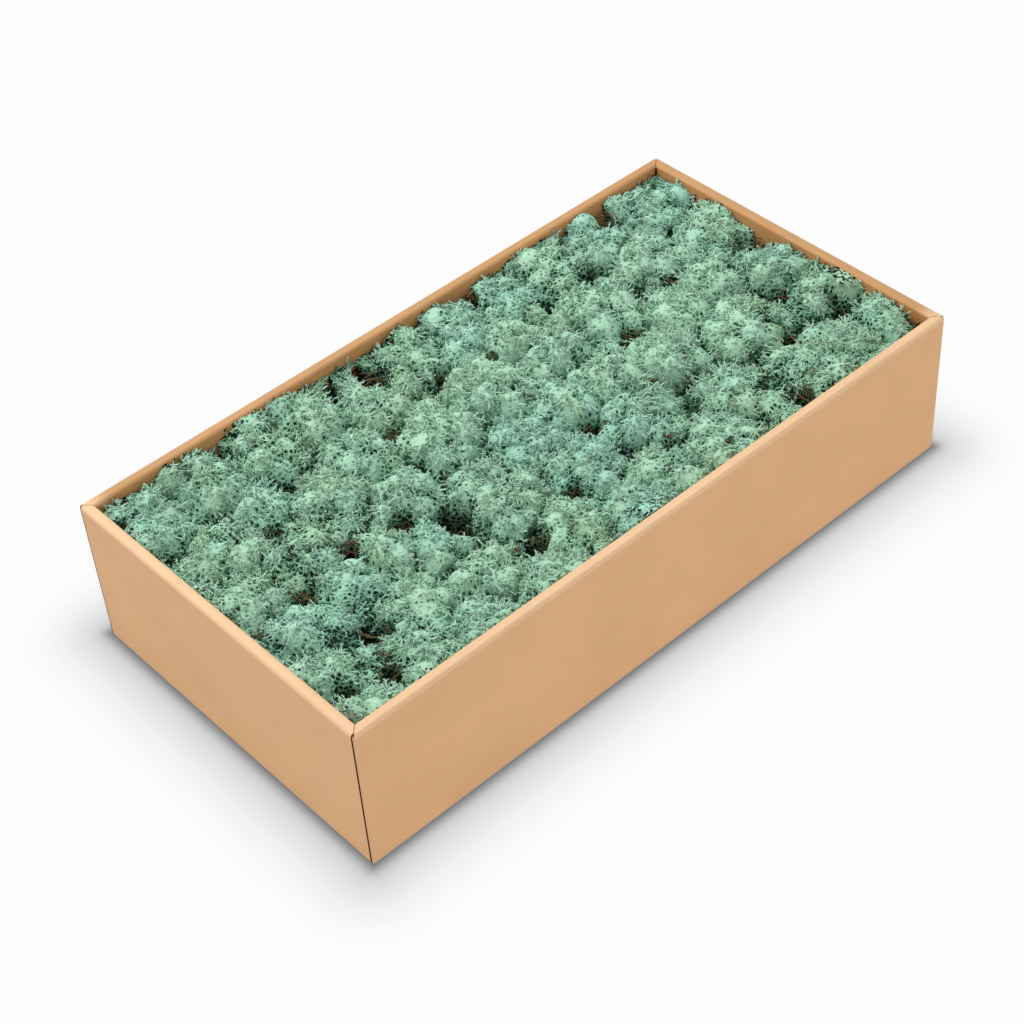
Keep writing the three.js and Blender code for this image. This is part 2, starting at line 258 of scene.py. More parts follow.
# Places where painted shade makes the moss darker than round them, at the gaps, the tufts and
# some valleys, and where painted light makes it paler: x, y and reach in millimetres. A gap's
# reach is a multiple of its radius, less a little.
GAP_DIM = (2.2, 3 * MM)
TUFT_DIM = 6 * MM
DIM_PLACES = np.vstack([
    np.column_stack([HOLLOWS[:, :2], GAP_DIM[0] * HOLLOWS[:, 2] - GAP_DIM[1]]),
    np.column_stack([TUFTS, np.full(len(TUFTS), TUFT_DIM)]),
    np.array([(-196, -60, 18), (-230, -74, 16), (-205, 10, 18), (-176, 24, 14)]) * MM,
    np.array([(-112, -22, 20), (-103, -38, 16), (-232, -112, 16)]) * MM,
    np.array([(-70, 142, 20), (-222, 70, 20), (150, -100, 20), (215, -50, 22)]) * MM,
])
PALE_PLACES = np.array([
    (-245, 120, 26), (-85, 117, 26), (-40, 40, 30), (-72, -96, 24), (20, -62, 26), (105, 2, 26),
    (-240, -20, 20), (-160, -70, 24), (50, 70, 26), (160, 20, 30),
]) * MM

# How many needles a tuft has, how many bits of litter lie at each gap, and how many crumbs there are.
TUFT_NEEDLES = 11
LITTER_EACH = np.where(WIDEST_GAPS, 34, 12)
CRUMBS = 90

# How sticks bend, which way their sides start, and a tuft's needles.
BOW = 0.25
BOW_SPREAD = (0.2, 1.0)
STICK_ACROSS = (0.21, 0.37, 0.9)
TUFT_STRAY = 0.5 * MM
NEEDLE_RISE = (0.0, 0.9)
NEEDLE_SPREAD = (0.5, 1.0)
NEEDLE_TAPER = (1.0, 0.95, 0.85, 0.6, 0.0)
NEEDLE_SIDES = 4
NEEDLE_SHADES = (0.2, 0.9)

# The loose litter: its reach and where it looks for the moss beside a gap, in the gap's radii; its
# depth, spreads, slope and taper; and how far it and the crumbs stay off the walls.
LITTER_REACH = 1.2
BESIDE_GAP = 1.5
LITTER_DEPTH = (2 * MM, 13 * MM)
LITTER_SPREAD = (0.5, 1.2)
LITTER_SLOPE = 0.35
LITTER_TAPER = (0.7, 1.0, 0.95, 0.85, 0.6, 0.0)
LITTER_THICKNESS = (0.8, 1.7)
LITTER_SIDES = 5
LITTER_EDGE = 1.5 * MM
CRUMB_SPREAD = (0.12, 0.32)
CRUMB_EDGE = 6 * MM
CRUMB_RISE = 0.3 * MM

# The dead twigs: their steps, knots and shade, and each path's corners in millimetres and its radius
# at the start.
TWIG_STEPS = 28
TWIG_SIDES = 9
TWIG_SMOOTHINGS = 3
TWIG_WANDER = 0.12 * MM
TWIG_TAPER = 0.55
TWIG_SHADE = 0.45
TWIG_KNOTS = 4
KNOT_SPAN = (0.15, 0.9)
KNOT_WIDTH = 0.025
KNOT_SWELL = 0.25
DEAD_TWIGS = {
    "dead_twig_1": (
        ([(-99, -31, 2), (-99, -31, 40), (-99.5, -32, 84), (-102, -38, 102), (-108, -47, 109)], 1.3),
        ([(-99.4, -32, 80), (-97, -30, 92), (-93, -27, 102)], 1.0),
        ([(-101, -36, 98), (-106, -35, 104), (-114, -37, 107)], 0.7),
        ([(-103, -40, 104), (-100, -45, 107), (-94, -48, 111)], 0.6),
    ),
    "dead_twig_2": (
        ([(-129, -12, 2), (-129, -12, 40), (-129, -12.5, 88), (-131, -13, 104), (-134, -13, 112)],
         1.3),
        ([(-129, -12.4, 84), (-127, -10.5, 96), (-124.5, -9, 107)], 1.0),
        ([(-130, -13, 98), (-127, -16, 104), (-121, -18, 108)], 0.7),
        ([(-131, -13, 103), (-136, -9, 107), (-141, -8, 108)], 0.6),
    ),
}

# Shader nodes stand in rows, so far apart.
NODES_IN_ROW = 8
NODE_STEP = 260
WHITE = (1.0, 1.0, 1.0)

# Noise scales: soft blotches and fine flecks. Bumps: strength and height. Surfaces: roughness and
# specular level.
MOSS_NOISE = (16.0, 260.0)
MOSS_BUMP = (0.7, 1.2 * MM)
MOSS_SURFACE = (0.72, 0.25)
BOARD_NOISE = (22.0, 900.0)
BOARD_BUMP = (0.12, 0.2 * MM)
BOARD_SURFACE = (0.62, 0.3)
LITTER_NOISE = (300.0, 1500.0)
LITTER_BUMP = (0.4, 0.3 * MM)
LITTER_SURFACE = (0.8, 0.2)

# Where the moss's shades lie on its ramp, where patches start and are full, the tint of the dullest
# branch, and the net's spans and wander.
MOSS_STOPS = (0.0, 0.2, 0.45, 0.7, 1.0)
OLIVE_SPAN = (0.55, 0.95)
BLUE_SPAN = (0.45, 0.05)
DULLEST_BRANCH = (0.72, 0.74, 0.72)
STRAND_SPAN = (0.17, 0.05)
HOLE_SPAN = (0.34, 0.2)
NET_WANDER = 3.0 * MM
NET_WANDER_SCALE = 180.0

# The near rims reach in by some rims, the inner walls with their painted shade start at shares of a
# rim, and the painted highlight under the near rims and the folds start and are full at fold radii
# under the rim's top. Then the tints of board and litter.
NEAR_RIMS = 3
INNER_SPAN = (0.8, 0.97)
HIGHLIGHT_SPAN = (1.7, 1.0)
FOLD_SPAN = (0.6, 0.1)
GRAIN_SCALES = (60.0, 60.0, 700.0)
BOARD_BLOTCH_TINT = (0.94, 0.93, 0.915)
FIBRE_TINT = (0.94, 0.935, 0.93)
LITTER_TINT = (0.6, 0.6, 0.6)

# The photograph's camera.
CAMERA_AZIMUTH = math.radians(-39.61)
CAMERA_ELEVATION = math.radians(43.708)
CAMERA_ROLL = math.radians(-4.429)
CAMERA_DISTANCE = 1.67556
CAMERA_ASIDE = -16.51 * MM
CAMERA_RAISED = 19.042 * MM
SENSOR = 36.0
FOCAL_SHARE = 2214.31 / 1024

# The large light, above and behind the tray, and the weak one before it.
KEY_PLACE = Vector((-0.15, 1.1, 1.75))
KEY_SIZE = 1.6
FILL_PLACE = Vector((0.5, -1.7, 0.5))
FILL_SIZE = 1.2

# The floor's half side, and its contact shadow: shares of its reach and of the paper's brightness.
FLOOR_HALF = 6.0
CONTACT_SHADOW = (
    (0.0, 0.22), (0.05, 0.38), (0.09, 0.53), (0.14, 0.65), (0.21, 0.73), (0.33, 0.80),
    (0.5, 0.89), (0.75, 0.97), (1.0, 1.0),
)


def linear(code):
    """An sRGB hex code as linear red, green and blue: v / 12.92 below 0.04045, and
    ((v + 0.055) / 1.055) to the power 2.4 above."""
    parts = [int(code[i:i + 2], 16) / 255 for i in (1, 3, 5)]
    return tuple(v / 12.92 if v <= 0.04045 else ((v + 0.055) / 1.055) ** 2.4 for v in parts)


def rgba(colour):
    """A colour with full alpha."""
    return (*colour, 1.0)


# Shared numpy tools


def unit(vectors):
    """Each vector over its own length."""
    return vectors / np.maximum(np.linalg.norm(vectors, axis=-1, keepdims=True), LEAST_LENGTH)


def side_axes(directions):
    """Two unit vectors square to each direction: its cross product with a fixed slanted vector, and
    the cross product of the two."""
    first = unit(np.cross(directions, SLANT))
    return first, np.cross(directions, first)


def compass(azimuth):
    """Level unit vectors at azimuths: their cosine and their sine."""
    return np.stack([np.cos(azimuth), np.sin(azimuth)], axis=1)


def nearest_of(points, centres):
    """The number of the centre nearest to each point."""
    return np.linalg.norm(points[:, None] - centres, axis=2).argmin(axis=1)


def draw(head, item):
    """A repeatable number from 0 to 1: the fraction of a large sine of the head and the item."""
    wave = np.sin(head * DRAW_WAVE[0] + np.asarray(item) * DRAW_WAVE[1]) * DRAW_SCALE
    return wave - np.floor(wave)


def mesh_object(name, points, faces, material, **attributes):
    """An object from an array of points and an array of triangles, with point attributes."""
    mesh = bpy.data.meshes.new(name)
    mesh.vertices.add(len(points))
    mesh.vertices.foreach_set("co", np.ascontiguousarray(points, np.float32).ravel())
    mesh.loops.add(faces.size)
    mesh.loops.foreach_set("vertex_index", np.ascontiguousarray(faces, np.int32).ravel())
    mesh.polygons.add(len(faces))
    mesh.polygons.foreach_set("loop_start", np.arange(0, faces.size, 3, dtype=np.int32))
    for label, values in attributes.items():
        attribute = mesh.attributes.new(label, "FLOAT", "POINT")
        attribute.data.foreach_set("value", np.ascontiguousarray(values, np.float32).ravel())
    mesh.update(calc_edges=True)
    mesh.shade_smooth()
    mesh.materials.append(material)
    piece = bpy.data.objects.new(name, mesh)
    bpy.context.scene.collection.objects.link(piece)
    return piece


# Shader tools


def add_node(tree, kind, inputs=None, **settings):
    """A shader node with its settings, and its inputs linked where a socket is given. The nodes
    stand in rows, in the order that they are made in."""
    row, column = divmod(len(tree.nodes), NODES_IN_ROW)
    made = tree.nodes.new("ShaderNode" + kind)
    made.location = (NODE_STEP * (column - NODES_IN_ROW), -NODE_STEP * row)
    for name, value in settings.items():
        setattr(made, name, value)
    for name, value in (inputs or {}).items():
        if isinstance(value, bpy.types.NodeSocket):
            tree.links.new(value, made.inputs[name])
        else:
            made.inputs[name].default_value = value
    return made


def point_value(tree, name):
    """A point attribute's value."""
    return add_node(tree, "Attribute", attribute_name=name).outputs["Fac"]


def object_place(tree):
    """The place in the object's own coordinates."""
    return add_node(tree, "TexCoord").outputs["Object"]


def arithmetic(tree, operation, first, second=0.0, **settings):
    """A sum, product or other arithmetic on two values or sockets, and its result."""
    names = {0: first, 1: second}
    return add_node(tree, "Math", names, operation=operation, **settings).outputs[0]


def vector_math(tree, operation, *values):
    """Arithmetic on vectors, and the node that holds its results."""
    return add_node(tree, "VectorMath", dict(enumerate(values)), operation=operation)


def mix_colour(tree, factor, first, second, blend="MIX"):
    """A colour mix of two colours or sockets, and its result."""
    names = {0: factor, 6: first, 7: second}
    return add_node(tree, "Mix", names, data_type="RGBA", blend_type=blend).outputs[2]


def tinted(tree, colour, tint, factor=1.0):
    """A colour times a tint."""
    return mix_colour(tree, factor, colour, tint, "MULTIPLY")


def ramp(tree, factor, stops):
    """A colour ramp through (place, colour) stops, and its result."""
    made = add_node(tree, "ValToRGB", {"Fac": factor})
    elements = made.color_ramp.elements
    while len(elements) < len(stops):
        elements.new(0.5)
    for element, (place, colour) in zip(elements, stops):
        element.position = place
        element.color = rgba(colour)
    return made.outputs["Color"]


def shaded(tree, colour, noise, darkest):
    """A colour times a ramp from the darkest tint to white over the middle of a noise's range."""
    return tinted(tree, colour, ramp(tree, noise, [(0.3, darkest), (0.7, WHITE)]))


def smooth_step(tree, value, low, high):
    """0 at low, 1 at high and a smooth step between."""
    names = {"Value": value, "From Min": low, "From Max": high}
    made = add_node(tree, "MapRange", names, interpolation_type="SMOOTHSTEP")
    return made.outputs["Result"]


def new_group(name, inputs, outputs):
    """An empty shader node group with named float sockets, and its input and output nodes."""
    group = bpy.data.node_groups.new(name, "ShaderNodeTree")
    for label, value in inputs.items():
        socket = group.interface.new_socket(label, in_out="INPUT", socket_type="NodeSocketFloat")
        socket.default_value = value
    for label in outputs:
        group.interface.new_socket(label, in_out="OUTPUT", socket_type="NodeSocketFloat")
    start = group.nodes.new("NodeGroupInput")
    start.location = (-NODE_STEP * (NODES_IN_ROW + 1), 0)
    end = group.nodes.new("NodeGroupOutput")
    end.location = (NODE_STEP, 0)
    return group, start, end


def mottle_group():
    """Noise at two sizes about a half: soft blotches, and fine flecks."""
    name = "Mottle"
    if name in bpy.data.node_groups:
        return bpy.data.node_groups[name]
    scales = {"Blotch Scale": 20.0, "Fleck Scale": 800.0}
    group, start, end = new_group(name, scales, ("Blotch", "Fleck"))
    place = object_place(group)
    for result, detail in (("Blotch", 3.0), ("Fleck", 2.0)):
        scale = start.outputs[f"{result} Scale"]
        names = {"Vector": place, "Scale": scale, "Detail": detail}
        noise = add_node(group, "TexNoise", names)
        group.links.new(noise.outputs["Fac"], end.inputs[result])
    return group


def net_group():
    """A net of fine strands with small holes: strands where the distance to a Voronoi cell's edge
    is small, holes near the middles of some cells. Noise moves the places about a little first."""
    name = "Moss Net"
    if name in bpy.data.node_groups:
        return bpy.data.node_groups[name]
    group, start, end = new_group(name, {"Scale": 300.0}, ("Strand", "Hole"))
    place = object_place(group)
    wander = add_node(group, "TexNoise", {"Vector": place, "Scale": NET_WANDER_SCALE})
    drift = vector_math(group, "SCALE", wander.outputs["Color"])
    drift.inputs["Scale"].default_value = NET_WANDER
    moved = vector_math(group, "ADD", place, drift.outputs[0]).outputs[0]
    cells = {"Vector": moved, "Scale": start.outputs["Scale"]}
    edges = add_node(group, "TexVoronoi", cells, feature="DISTANCE_TO_EDGE")
    middles = add_node(group, "TexVoronoi", cells)
    for result, cell, span in (("Strand", edges, STRAND_SPAN), ("Hole", middles, HOLE_SPAN)):
        step = smooth_step(group, cell.outputs["Distance"], *span)
        group.links.new(step, end.inputs[result])
    return group


def new_material(name):
    """An empty node material with its tree and its Principled shader."""
    material = bpy.data.materials.new(name)
    material.use_nodes = True
    tree = material.node_tree
    return material, tree, tree.nodes["Principled BSDF"]


def mottle(tree, scales):
    """The blotches and the flecks of a mottle of the given scales."""
    made = add_node(tree, "Group", node_tree=mottle_group())
    for name, scale in zip(("Blotch Scale", "Fleck Scale"), scales):
        made.inputs[name].default_value = scale
    return made.outputs["Blotch"], made.outputs["Fleck"]


def finish(tree, shader, colour, height, bump, gloss):
    """Links a material's colour and its bump, a strength and a distance over the height, and sets
    its roughness and specular level."""
    tree.links.new(colour, shader.inputs["Base Color"])
    strength, distance = bump
    names = {"Height": height, "Strength": strength, "Distance": distance}
    made = add_node(tree, "Bump", names)
    tree.links.new(made.outputs["Normal"], shader.inputs["Normal"])
    roughness, specular = gloss
    shader.inputs["Roughness"].default_value = roughness
    shader.inputs["Specular IOR Level"].default_value = specular


def moss_material(name, tint_colour, settings):
    """Moss: painted shade in the creases and gaps and painted light on the swells, pale tips, with
    olive and bluish patches. Over each head's core lies a net: its strands are paler, and the space
    and holes between darker with painted shade."""
    material, tree, shader = new_material(name)
    blotch, _ = mottle(tree, MOSS_NOISE)
    net = add_node(tree, "Group", node_tree=net_group())
    net.inputs["Scale"].default_value = settings.net_scale
    # The net's relief: paler strands, with painted shade between them and in its holes.
    strand = arithmetic(tree, "MULTIPLY", net.outputs["Strand"], settings.strand_lift)
    strand = arithmetic(tree, "SUBTRACT", strand, settings.between_drop)
    hole = arithmetic(tree, "MULTIPLY", net.outputs["Hole"], -settings.hole_drop)
    relief = arithmetic(tree, "ADD", strand, hole)
    netted = point_value(tree, "net")
    lift = arithmetic(tree, "MULTIPLY", relief, netted)
    cloud = arithmetic(tree, "SUBTRACT", blotch, 0.5)
    cloud = arithmetic(tree, "MULTIPLY", cloud, settings.cloud_depth)
    # The shade attribute holds the painted light and shade worked out for each point.
    shade = point_value(tree, "shade")
    clouded = arithmetic(tree, "ADD", shade, cloud)
    pale = arithmetic(tree, "ADD", clouded, lift, use_clamp=True)
    # The ramp runs from painted shadow deep in the gaps and painted shade in the creases up to the
    # pale branches and tips.
    shades = zip(MOSS_STOPS, (
        settings.deep_shadow_colour,
        settings.crease_shade_colour,
        settings.stem_colour,
        settings.branch_colour,
        settings.tip_colour,
    ))
    colour = ramp(tree, pale, list(shades))
    patch = point_value(tree, "patch")
    olive = smooth_step(tree, patch, *OLIVE_SPAN)
    colour = tinted(tree, colour, rgba(settings.olive_tint), olive)
    blue = smooth_step(tree, patch, *BLUE_SPAN)
    colour = tinted(tree, colour, rgba(settings.blue_tint), blue)
    tint = point_value(tree, "tint")
    spread = ramp(tree, tint, [(0.0, DULLEST_BRANCH), (1.0, WHITE)])
    colour = tinted(tree, colour, spread)
    colour = tinted(tree, colour, rgba(tint_colour))
    finish(tree, shader, colour, lift, MOSS_BUMP, MOSS_SURFACE)
    return material


def near_side(tree, parts):
    """1 at the tray's near rims and 0 elsewhere: where the board gets its painted highlight and
    lighter painted folds.
    """
    steps = [
        smooth_step(tree, parts.outputs[axis], low + NEAR_RIMS * RIM, low)
        for axis, low in (("X", TRAY_LOW.x), ("Y", TRAY_LOW.y))
    ]
    return arithmetic(tree, "MAXIMUM", *steps)


def depths_inside(tree, parts):
    """How far a place lies inside the tray's outer faces, across X and across Y."""
    depths = []
    for axis, half in (("X", TRAY_HIGH.x), ("Y", TRAY_HIGH.y)):
        size = arithmetic(tree, "ABSOLUTE", parts.outputs[axis])
        depths.append(arithmetic(tree, "SUBTRACT", half, size))
    return depths


def under_rim(tree, height, low, high):
    """A smooth step over the height, from low to high fold radii under the rim's top."""
    below = [TRAY_HIGH.z - share * FOLD_RADIUS for share in (low, high)]
    return smooth_step(tree, height, *below)


def board_material(settings):
    """Kraft board: soft blotches and fine fibres along the walls, a painted highlight under the near
    rims, rim folds painted lighter at the near rims and darker at the far ones, painted shade on the
    inner walls, and painted shadow beside each slit."""
    material, tree, shader = new_material("kraft_board")
    blotch, fleck = mottle(tree, BOARD_NOISE)
    place = object_place(tree)
    parts = add_node(tree, "SeparateXYZ", {"Vector": place})
    height = parts.outputs["Z"]
    near = near_side(tree, parts)
    depths = depths_inside(tree, parts)
    depth = arithmetic(tree, "MINIMUM", *depths)
    # The inner walls get a painted shade tint.
    inside = smooth_step(tree, depth, *[share * RIM for share in INNER_SPAN])
    liner = rgba(settings.liner_colour)
    inner = tinted(tree, liner, rgba(settings.inner_shade_tint))
    colour = mix_colour(tree, inside, liner, inner)
    # Painted highlight on the band just under the near rims, where their folds turn down.
    edge = under_rim(tree, height, *HIGHLIGHT_SPAN)
    highlight = arithmetic(tree, "MULTIPLY", edge, near)
    colour = mix_colour(tree, highlight, colour, rgba(settings.highlight_colour))
    # The rim tops: painted lighter along the near rims and painted darker along the far ones.
    folds = [rgba(settings.far_fold_colour), rgba(settings.fold_colour)]
    rim = mix_colour(tree, near, *folds)
    fold = under_rim(tree, height, *FOLD_SPAN)
    colour = mix_colour(tree, fold, colour, rim)
    # Beside each slit, painted shadow: a dark band wider than the slit itself.
    slit_shadow = arithmetic(tree, "SUBTRACT", depths[1], BOARD + SLIT / 2)
    slit_shadow = arithmetic(tree, "ABSOLUTE", slit_shadow)
    slit_shadow = smooth_step(tree, slit_shadow, SLIT, SLIT / 2)
    outer = smooth_step(tree, depths[0], 2 * BOARD, BOARD)
    slit_shadow = arithmetic(tree, "MULTIPLY", slit_shadow, outer)
    colour = mix_colour(tree, slit_shadow, colour, rgba(settings.slit_shadow_colour))
    colour = shaded(tree, colour, blotch, BOARD_BLOTCH_TINT)
    grain = vector_math(tree, "MULTIPLY", place, GRAIN_SCALES).outputs[0]
    names = {"Vector": grain, "Scale": 1.0, "Detail": 4.0, "Roughness": 0.7}
    fibres = add_node(tree, "TexNoise", names).outputs["Fac"]
    colour = shaded(tree, colour, fibres, FIBRE_TINT)
    finish(tree, shader, colour, fleck, BOARD_BUMP, BOARD_SURFACE)
    return material


def litter_material(settings):
    """Dry needles and bark: browns from dark to straw by each piece's shade, with fine flecks."""
    material, tree, shader = new_material("dry_litter")
    blotch, fleck = mottle(tree, LITTER_NOISE)
    shade = point_value(tree, "shade")
    browns = (settings.dark_colour, settings.brown_colour, settings.straw_colour)
    colour = ramp(tree, shade, list(zip((0.0, 0.5, 1.0), browns)))
    colour = shaded(tree, colour, fleck, LITTER_TINT)
    finish(tree, shader, colour, blotch, LITTER_BUMP, LITTER_SURFACE)
    return material


def floor_material(settings):
    """The stage's floor: glowing white paper with a soft contact shadow. The shadow's shade depends
    on the distance from the tray's footprint, which is the length of the part of the place that lies
    outside the footprint's half sides."""
    material, tree, shader = new_material("studio_paper")
    place = object_place(tree)
    size = vector_math(tree, "ABSOLUTE", place).outputs[0]
    half = (TRAY_HIGH.x, TRAY_HIGH.y, 1.0)
    past = vector_math(tree, "SUBTRACT", size, half).outputs[0]
    outside = vector_math(tree, "MAXIMUM", past, (0.0, 0.0, 0.0)).outputs[0]
    distance = vector_math(tree, "LENGTH", outside).outputs["Value"]
    share = arithmetic(tree, "DIVIDE", distance, settings.shadow_reach)
    glow = ramp(tree, share, [(at, (level,) * 3) for at, level in CONTACT_SHADOW])
    tree.links.new(glow, shader.inputs["Emission Color"])
    shader.inputs["Base Color"].default_value = (0.0, 0.0, 0.0, 1.0)
    shader.inputs["Specular IOR Level"].default_value = 0.0
    shader.inputs["Roughness"].default_value = 1.0
    shader.inputs["Emission Strength"].default_value = settings.floor_glow
    return material


# The moss heads


def read_heads():
    """The heads' places from the CAD: the centre and radius of each foot ring, and the top."""
    names = sorted(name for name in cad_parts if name.startswith("moss_head_"))
    places = []
    for name in names:
        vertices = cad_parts[name].data.vertices
        points = np.empty(3 * len(vertices))
        vertices.foreach_get("co", points)
        points = points.reshape(-1, 3)
        low = points[:, 2].min()
        foot = points[points[:, 2] < low + FOOT_SLICE, :2]
        foot = np.unique(np.round(foot, FOOT_DIGITS), axis=0)
        centre = foot.mean(axis=0)
        share = np.linalg.norm(foot - centre, axis=1).mean() / FOOT_SHARE
        places.append((*centre, share, points[:, 2].max()))
    return names, np.array(places)


class Room:
    """The ground that one head may cover. Its straight borders are the lines that share the ground
    with each neighbour by the power of their circles, and the tray's walls."""

    def __init__(self, heads, index):
        x, y, share, top = heads[index]
        self.index = index
        self.centre = np.array([x, y])
        self.share = share
        self.top = top
        self.crease = CREASE_DEPTH + CREASE_DEPTH_SPREAD * draw(index, CREASE_DRAW)
        self.sink = VALLEY + VALLEY_SPREAD * draw(index, SINK_DRAW)
        others = np.delete(heads, index, axis=0)
        away = others[:, :2] - self.centre
        apart = np.linalg.norm(away, axis=1)
        lines = (apart**2 + share**2 - others[:, 2] ** 2) / (2 * apart) - HEAD_GAP / 2
        inner = np.array([TRAY_HIGH.x, TRAY_HIGH.y]) - RIM - CLEARANCE
        walls = np.array([[1.0, 0.0], [-1.0, 0.0], [0.0, 1.0], [0.0, -1.0]])
        wall_lines = np.array([inner[0] - x, inner[0] + x, inner[1] - y, inner[1] + y])
        self.neighbours = len(apart)
        self.normals = np.vstack([away / apart[:, None], walls])
        self.lines = np.concatenate([lines, wall_lines])
        self.drops = np.concatenate([np.full(len(apart), CREASE_DROP), np.full(4, WALL_DROP)])
        self.hollows = HOLLOWS[:, :2] - self.centre

    def along(self, directions, widest=FILL_SHARE, spare=HOLLOW_SPARE):
        """How far the room reaches along level directions, and how far the crown drops there: the
        nearest of the borders, a widest share of the head and the hollows' circles, which are the
        spare times their size."""
        facing = directions @ self.normals.T
        over = np.maximum(facing, LEAST_FACING)
        reach = np.where(facing > LEAST_FACING, self.lines / over, np.inf)
        nearest = reach.argmin(axis=1)
        room = reach.min(axis=1)
        drop = self.drops[nearest]
        widest = widest * self.share
        drop = np.where(room > widest, CREASE_DROP, drop)
        room = np.minimum(room, widest)
        ahead = directions @ self.hollows.T
        left = (HOLLOWS[:, 2] * spare) ** 2 - (self.hollows**2).sum(axis=1) + ahead**2
        entry = np.where((ahead > 0) & (left > 0), ahead - np.sqrt(np.maximum(left, 0)), np.inf)
        drop = np.where(entry.min(axis=1) < room, HOLLOW_DROP, drop)
        return np.minimum(room, entry.min(axis=1)), drop

    def crown(self, places, widest=FILL_SHARE, spare=HOLLOW_SPARE):
        """The crown's height at places about the axis, and the share of the room they lie at: the
        top less a rise, less the drop times the share to the crown's power."""
        level = np.maximum(np.linalg.norm(places, axis=1), TINY)
        room, drop = self.along(places / level[:, None], widest, spare)
        edge = level / room
        return self.top - LOBE_RISE - drop * np.minimum(edge, 1) ** CROWN_POWER, edge

    def spare(self, places):
        """How far places are inside the neighbours' lines, and inside the walls."""
        gaps = self.lines - places @ self.normals.T
        return gaps[:, :self.neighbours].min(axis=1), gaps[:, self.neighbours:].min(axis=1)

    def beside_hollow(self, places):
        """The share of its length that a branch keeps: about half at a hollow's brink, and all of
        it further off."""
        apart = np.linalg.norm(places[:, None] - self.hollows, axis=2)
        brink = apart - HOLLOW_SPARE * HOLLOWS[:, 2]
        return np.clip(brink.min(axis=1) / BRINK_REACH, BRINK_SHARE, 1)

    def valley(self, places):
        """How far the moss sinks towards its neighbours: the head's own depth times the share of the
        room to a high power, but nothing towards a wall."""
        level = np.maximum(np.linalg.norm(places, axis=1), TINY)
        room, drop = self.along(places / level[:, None])
        edge = np.minimum(level / room, 1)
        _, walls = self.spare(places)
        inland = np.clip(walls / WALL_REACH, 0, 1)
        return np.where(drop == WALL_DROP, 0, self.sink) * inland * edge**VALLEY_POWER

    def lobes(self):
        """The lobes' centres and radii: spheres laid out by the golden angle, each rising from the
        crown under it."""
        item = np.arange(LOBES)
        azimuth = (item + draw(self.index, TURN_DRAW)) * GOLDEN_ANGLE
        azimuth = azimuth + LOBE_TWIST * draw(self.index, LOBE_DRAWS * item + 1)
        least, more = LOBE_STEP
        outwards = np.sqrt((item + least + more * draw(self.index, LOBE_DRAWS * item)) / LOBES)
        directions = compass(azimuth)
        room, _ = self.along(directions, WAIST_SHARE, 1)
        level = LOBE_OUTWARDS * outwards * np.minimum(self.share, room)
        radii = LOBE_RADIUS + LOBE_RADIUS_SPREAD * draw(self.index, LOBE_DRAWS * item + 2)
        places = directions * level[:, None]
        heights, _ = self.crown(places, WAIST_SHARE, 1)
        sunk = LOBE_RISE_SPREAD * draw(self.index, LOBE_DRAWS * item + 3)
        heights = heights + LOBE_RISE - sunk - radii
        return np.column_stack([places, heights]), radii


def cap(count, polar, spheres, rng):
    """Directions spread by the golden angle over a cap round +Z, one set for each sphere, each set
    turned at random. The heights fall from 1 to the cosine of the polar angle in equal steps."""
    item = np.arange(count)
    height = 1 - (item + 0.5) / count * (1 - math.cos(polar))
    flat = np.sqrt(1 - height**2)
    azimuth = item * GOLDEN_ANGLE + rng.uniform(0, 2 * math.pi, (spheres, 1))
    height = np.broadcast_to(height, azimuth.shape)
    return np.stack([flat * np.cos(azimuth), flat * np.sin(azimuth), height], axis=2)


def knobs_on(lobes, radii, rng):
    """Knobs spread over each lobe's cap, each a little proud of the lobe: centres, radii and the
    directions they look in."""
    turned = cap(KNOBS, KNOB_POLAR, len(lobes), rng)
    outwards = unit(turned + rng.normal(0, KNOB_STRAY, turned.shape))
    sizes = KNOB_RADIUS + KNOB_RADIUS_SPREAD * rng.random((len(lobes), KNOBS))
    reach = radii[:, None] + KNOB_PROUD * rng.uniform(0, 1, (len(lobes), KNOBS)) - sizes
    centres = lobes[:, None] + outwards * reach[..., None]
    return centres.reshape(-1, 3), sizes.ravel(), outwards.reshape(-1, 3)


def surface(room, spheres, radii, places):
    """The height of a head's surface over places about its axis: the crown less the creases' depth,
    or the highest sphere over that place, whichever is higher."""
    crown, _ = room.crown(places)
    aside = ((places[:, None] - spheres[:, :2]) ** 2).sum(axis=2)
    left = radii**2 - aside
    domes = np.where(left > 0, spheres[:, 2] + np.sqrt(np.maximum(left, 0)), -np.inf)
    return np.maximum(crown - room.crease, domes.max(axis=1))


def swell(room, spheres, radii, places, reach, full):
    """How far the surface stands out at places, from 0 in a crease to 1 on a swell: its height less
    its mean height on a circle of the given reach round the place, over the height of a full
    swell."""
    circle = reach * compass(np.arange(SWELL_TURNS) * 2 * math.pi / SWELL_TURNS)
    ring = (places[:, None] + circle).reshape(-1, 2)
    around = surface(room, spheres, radii, ring).reshape(-1, SWELL_TURNS).mean(axis=1)
    height = surface(room, spheres, radii, places)
    return np.clip(0.5 + (height - around) / (2 * full), 0, 1)


def swell_shade(room, spheres, radii, places):
    """How much paler the moss is for standing out from the knobs and from the lobes round it: painted
    light on the swells and painted shade in the creases.
    """
    knob = swell(room, spheres, radii, places, *KNOB_SWELL)
    lobe = swell(room, spheres, radii, places, *LOBE_SWELL)
    return KNOB_SHADE * knob + LOBE_SHADE * lobe


def sunk_shade(room, points):
    """Painted shade for depth: what depth under the crown takes off the moss's paleness, a share for
    each millimetre.
    """
    crown, _ = room.crown(points[:, :2])
    floor = crown - room.crease - room.valley(points[:, :2])
    return DEPTH_SHADE / MM * np.maximum(floor - points[:, 2], 0)


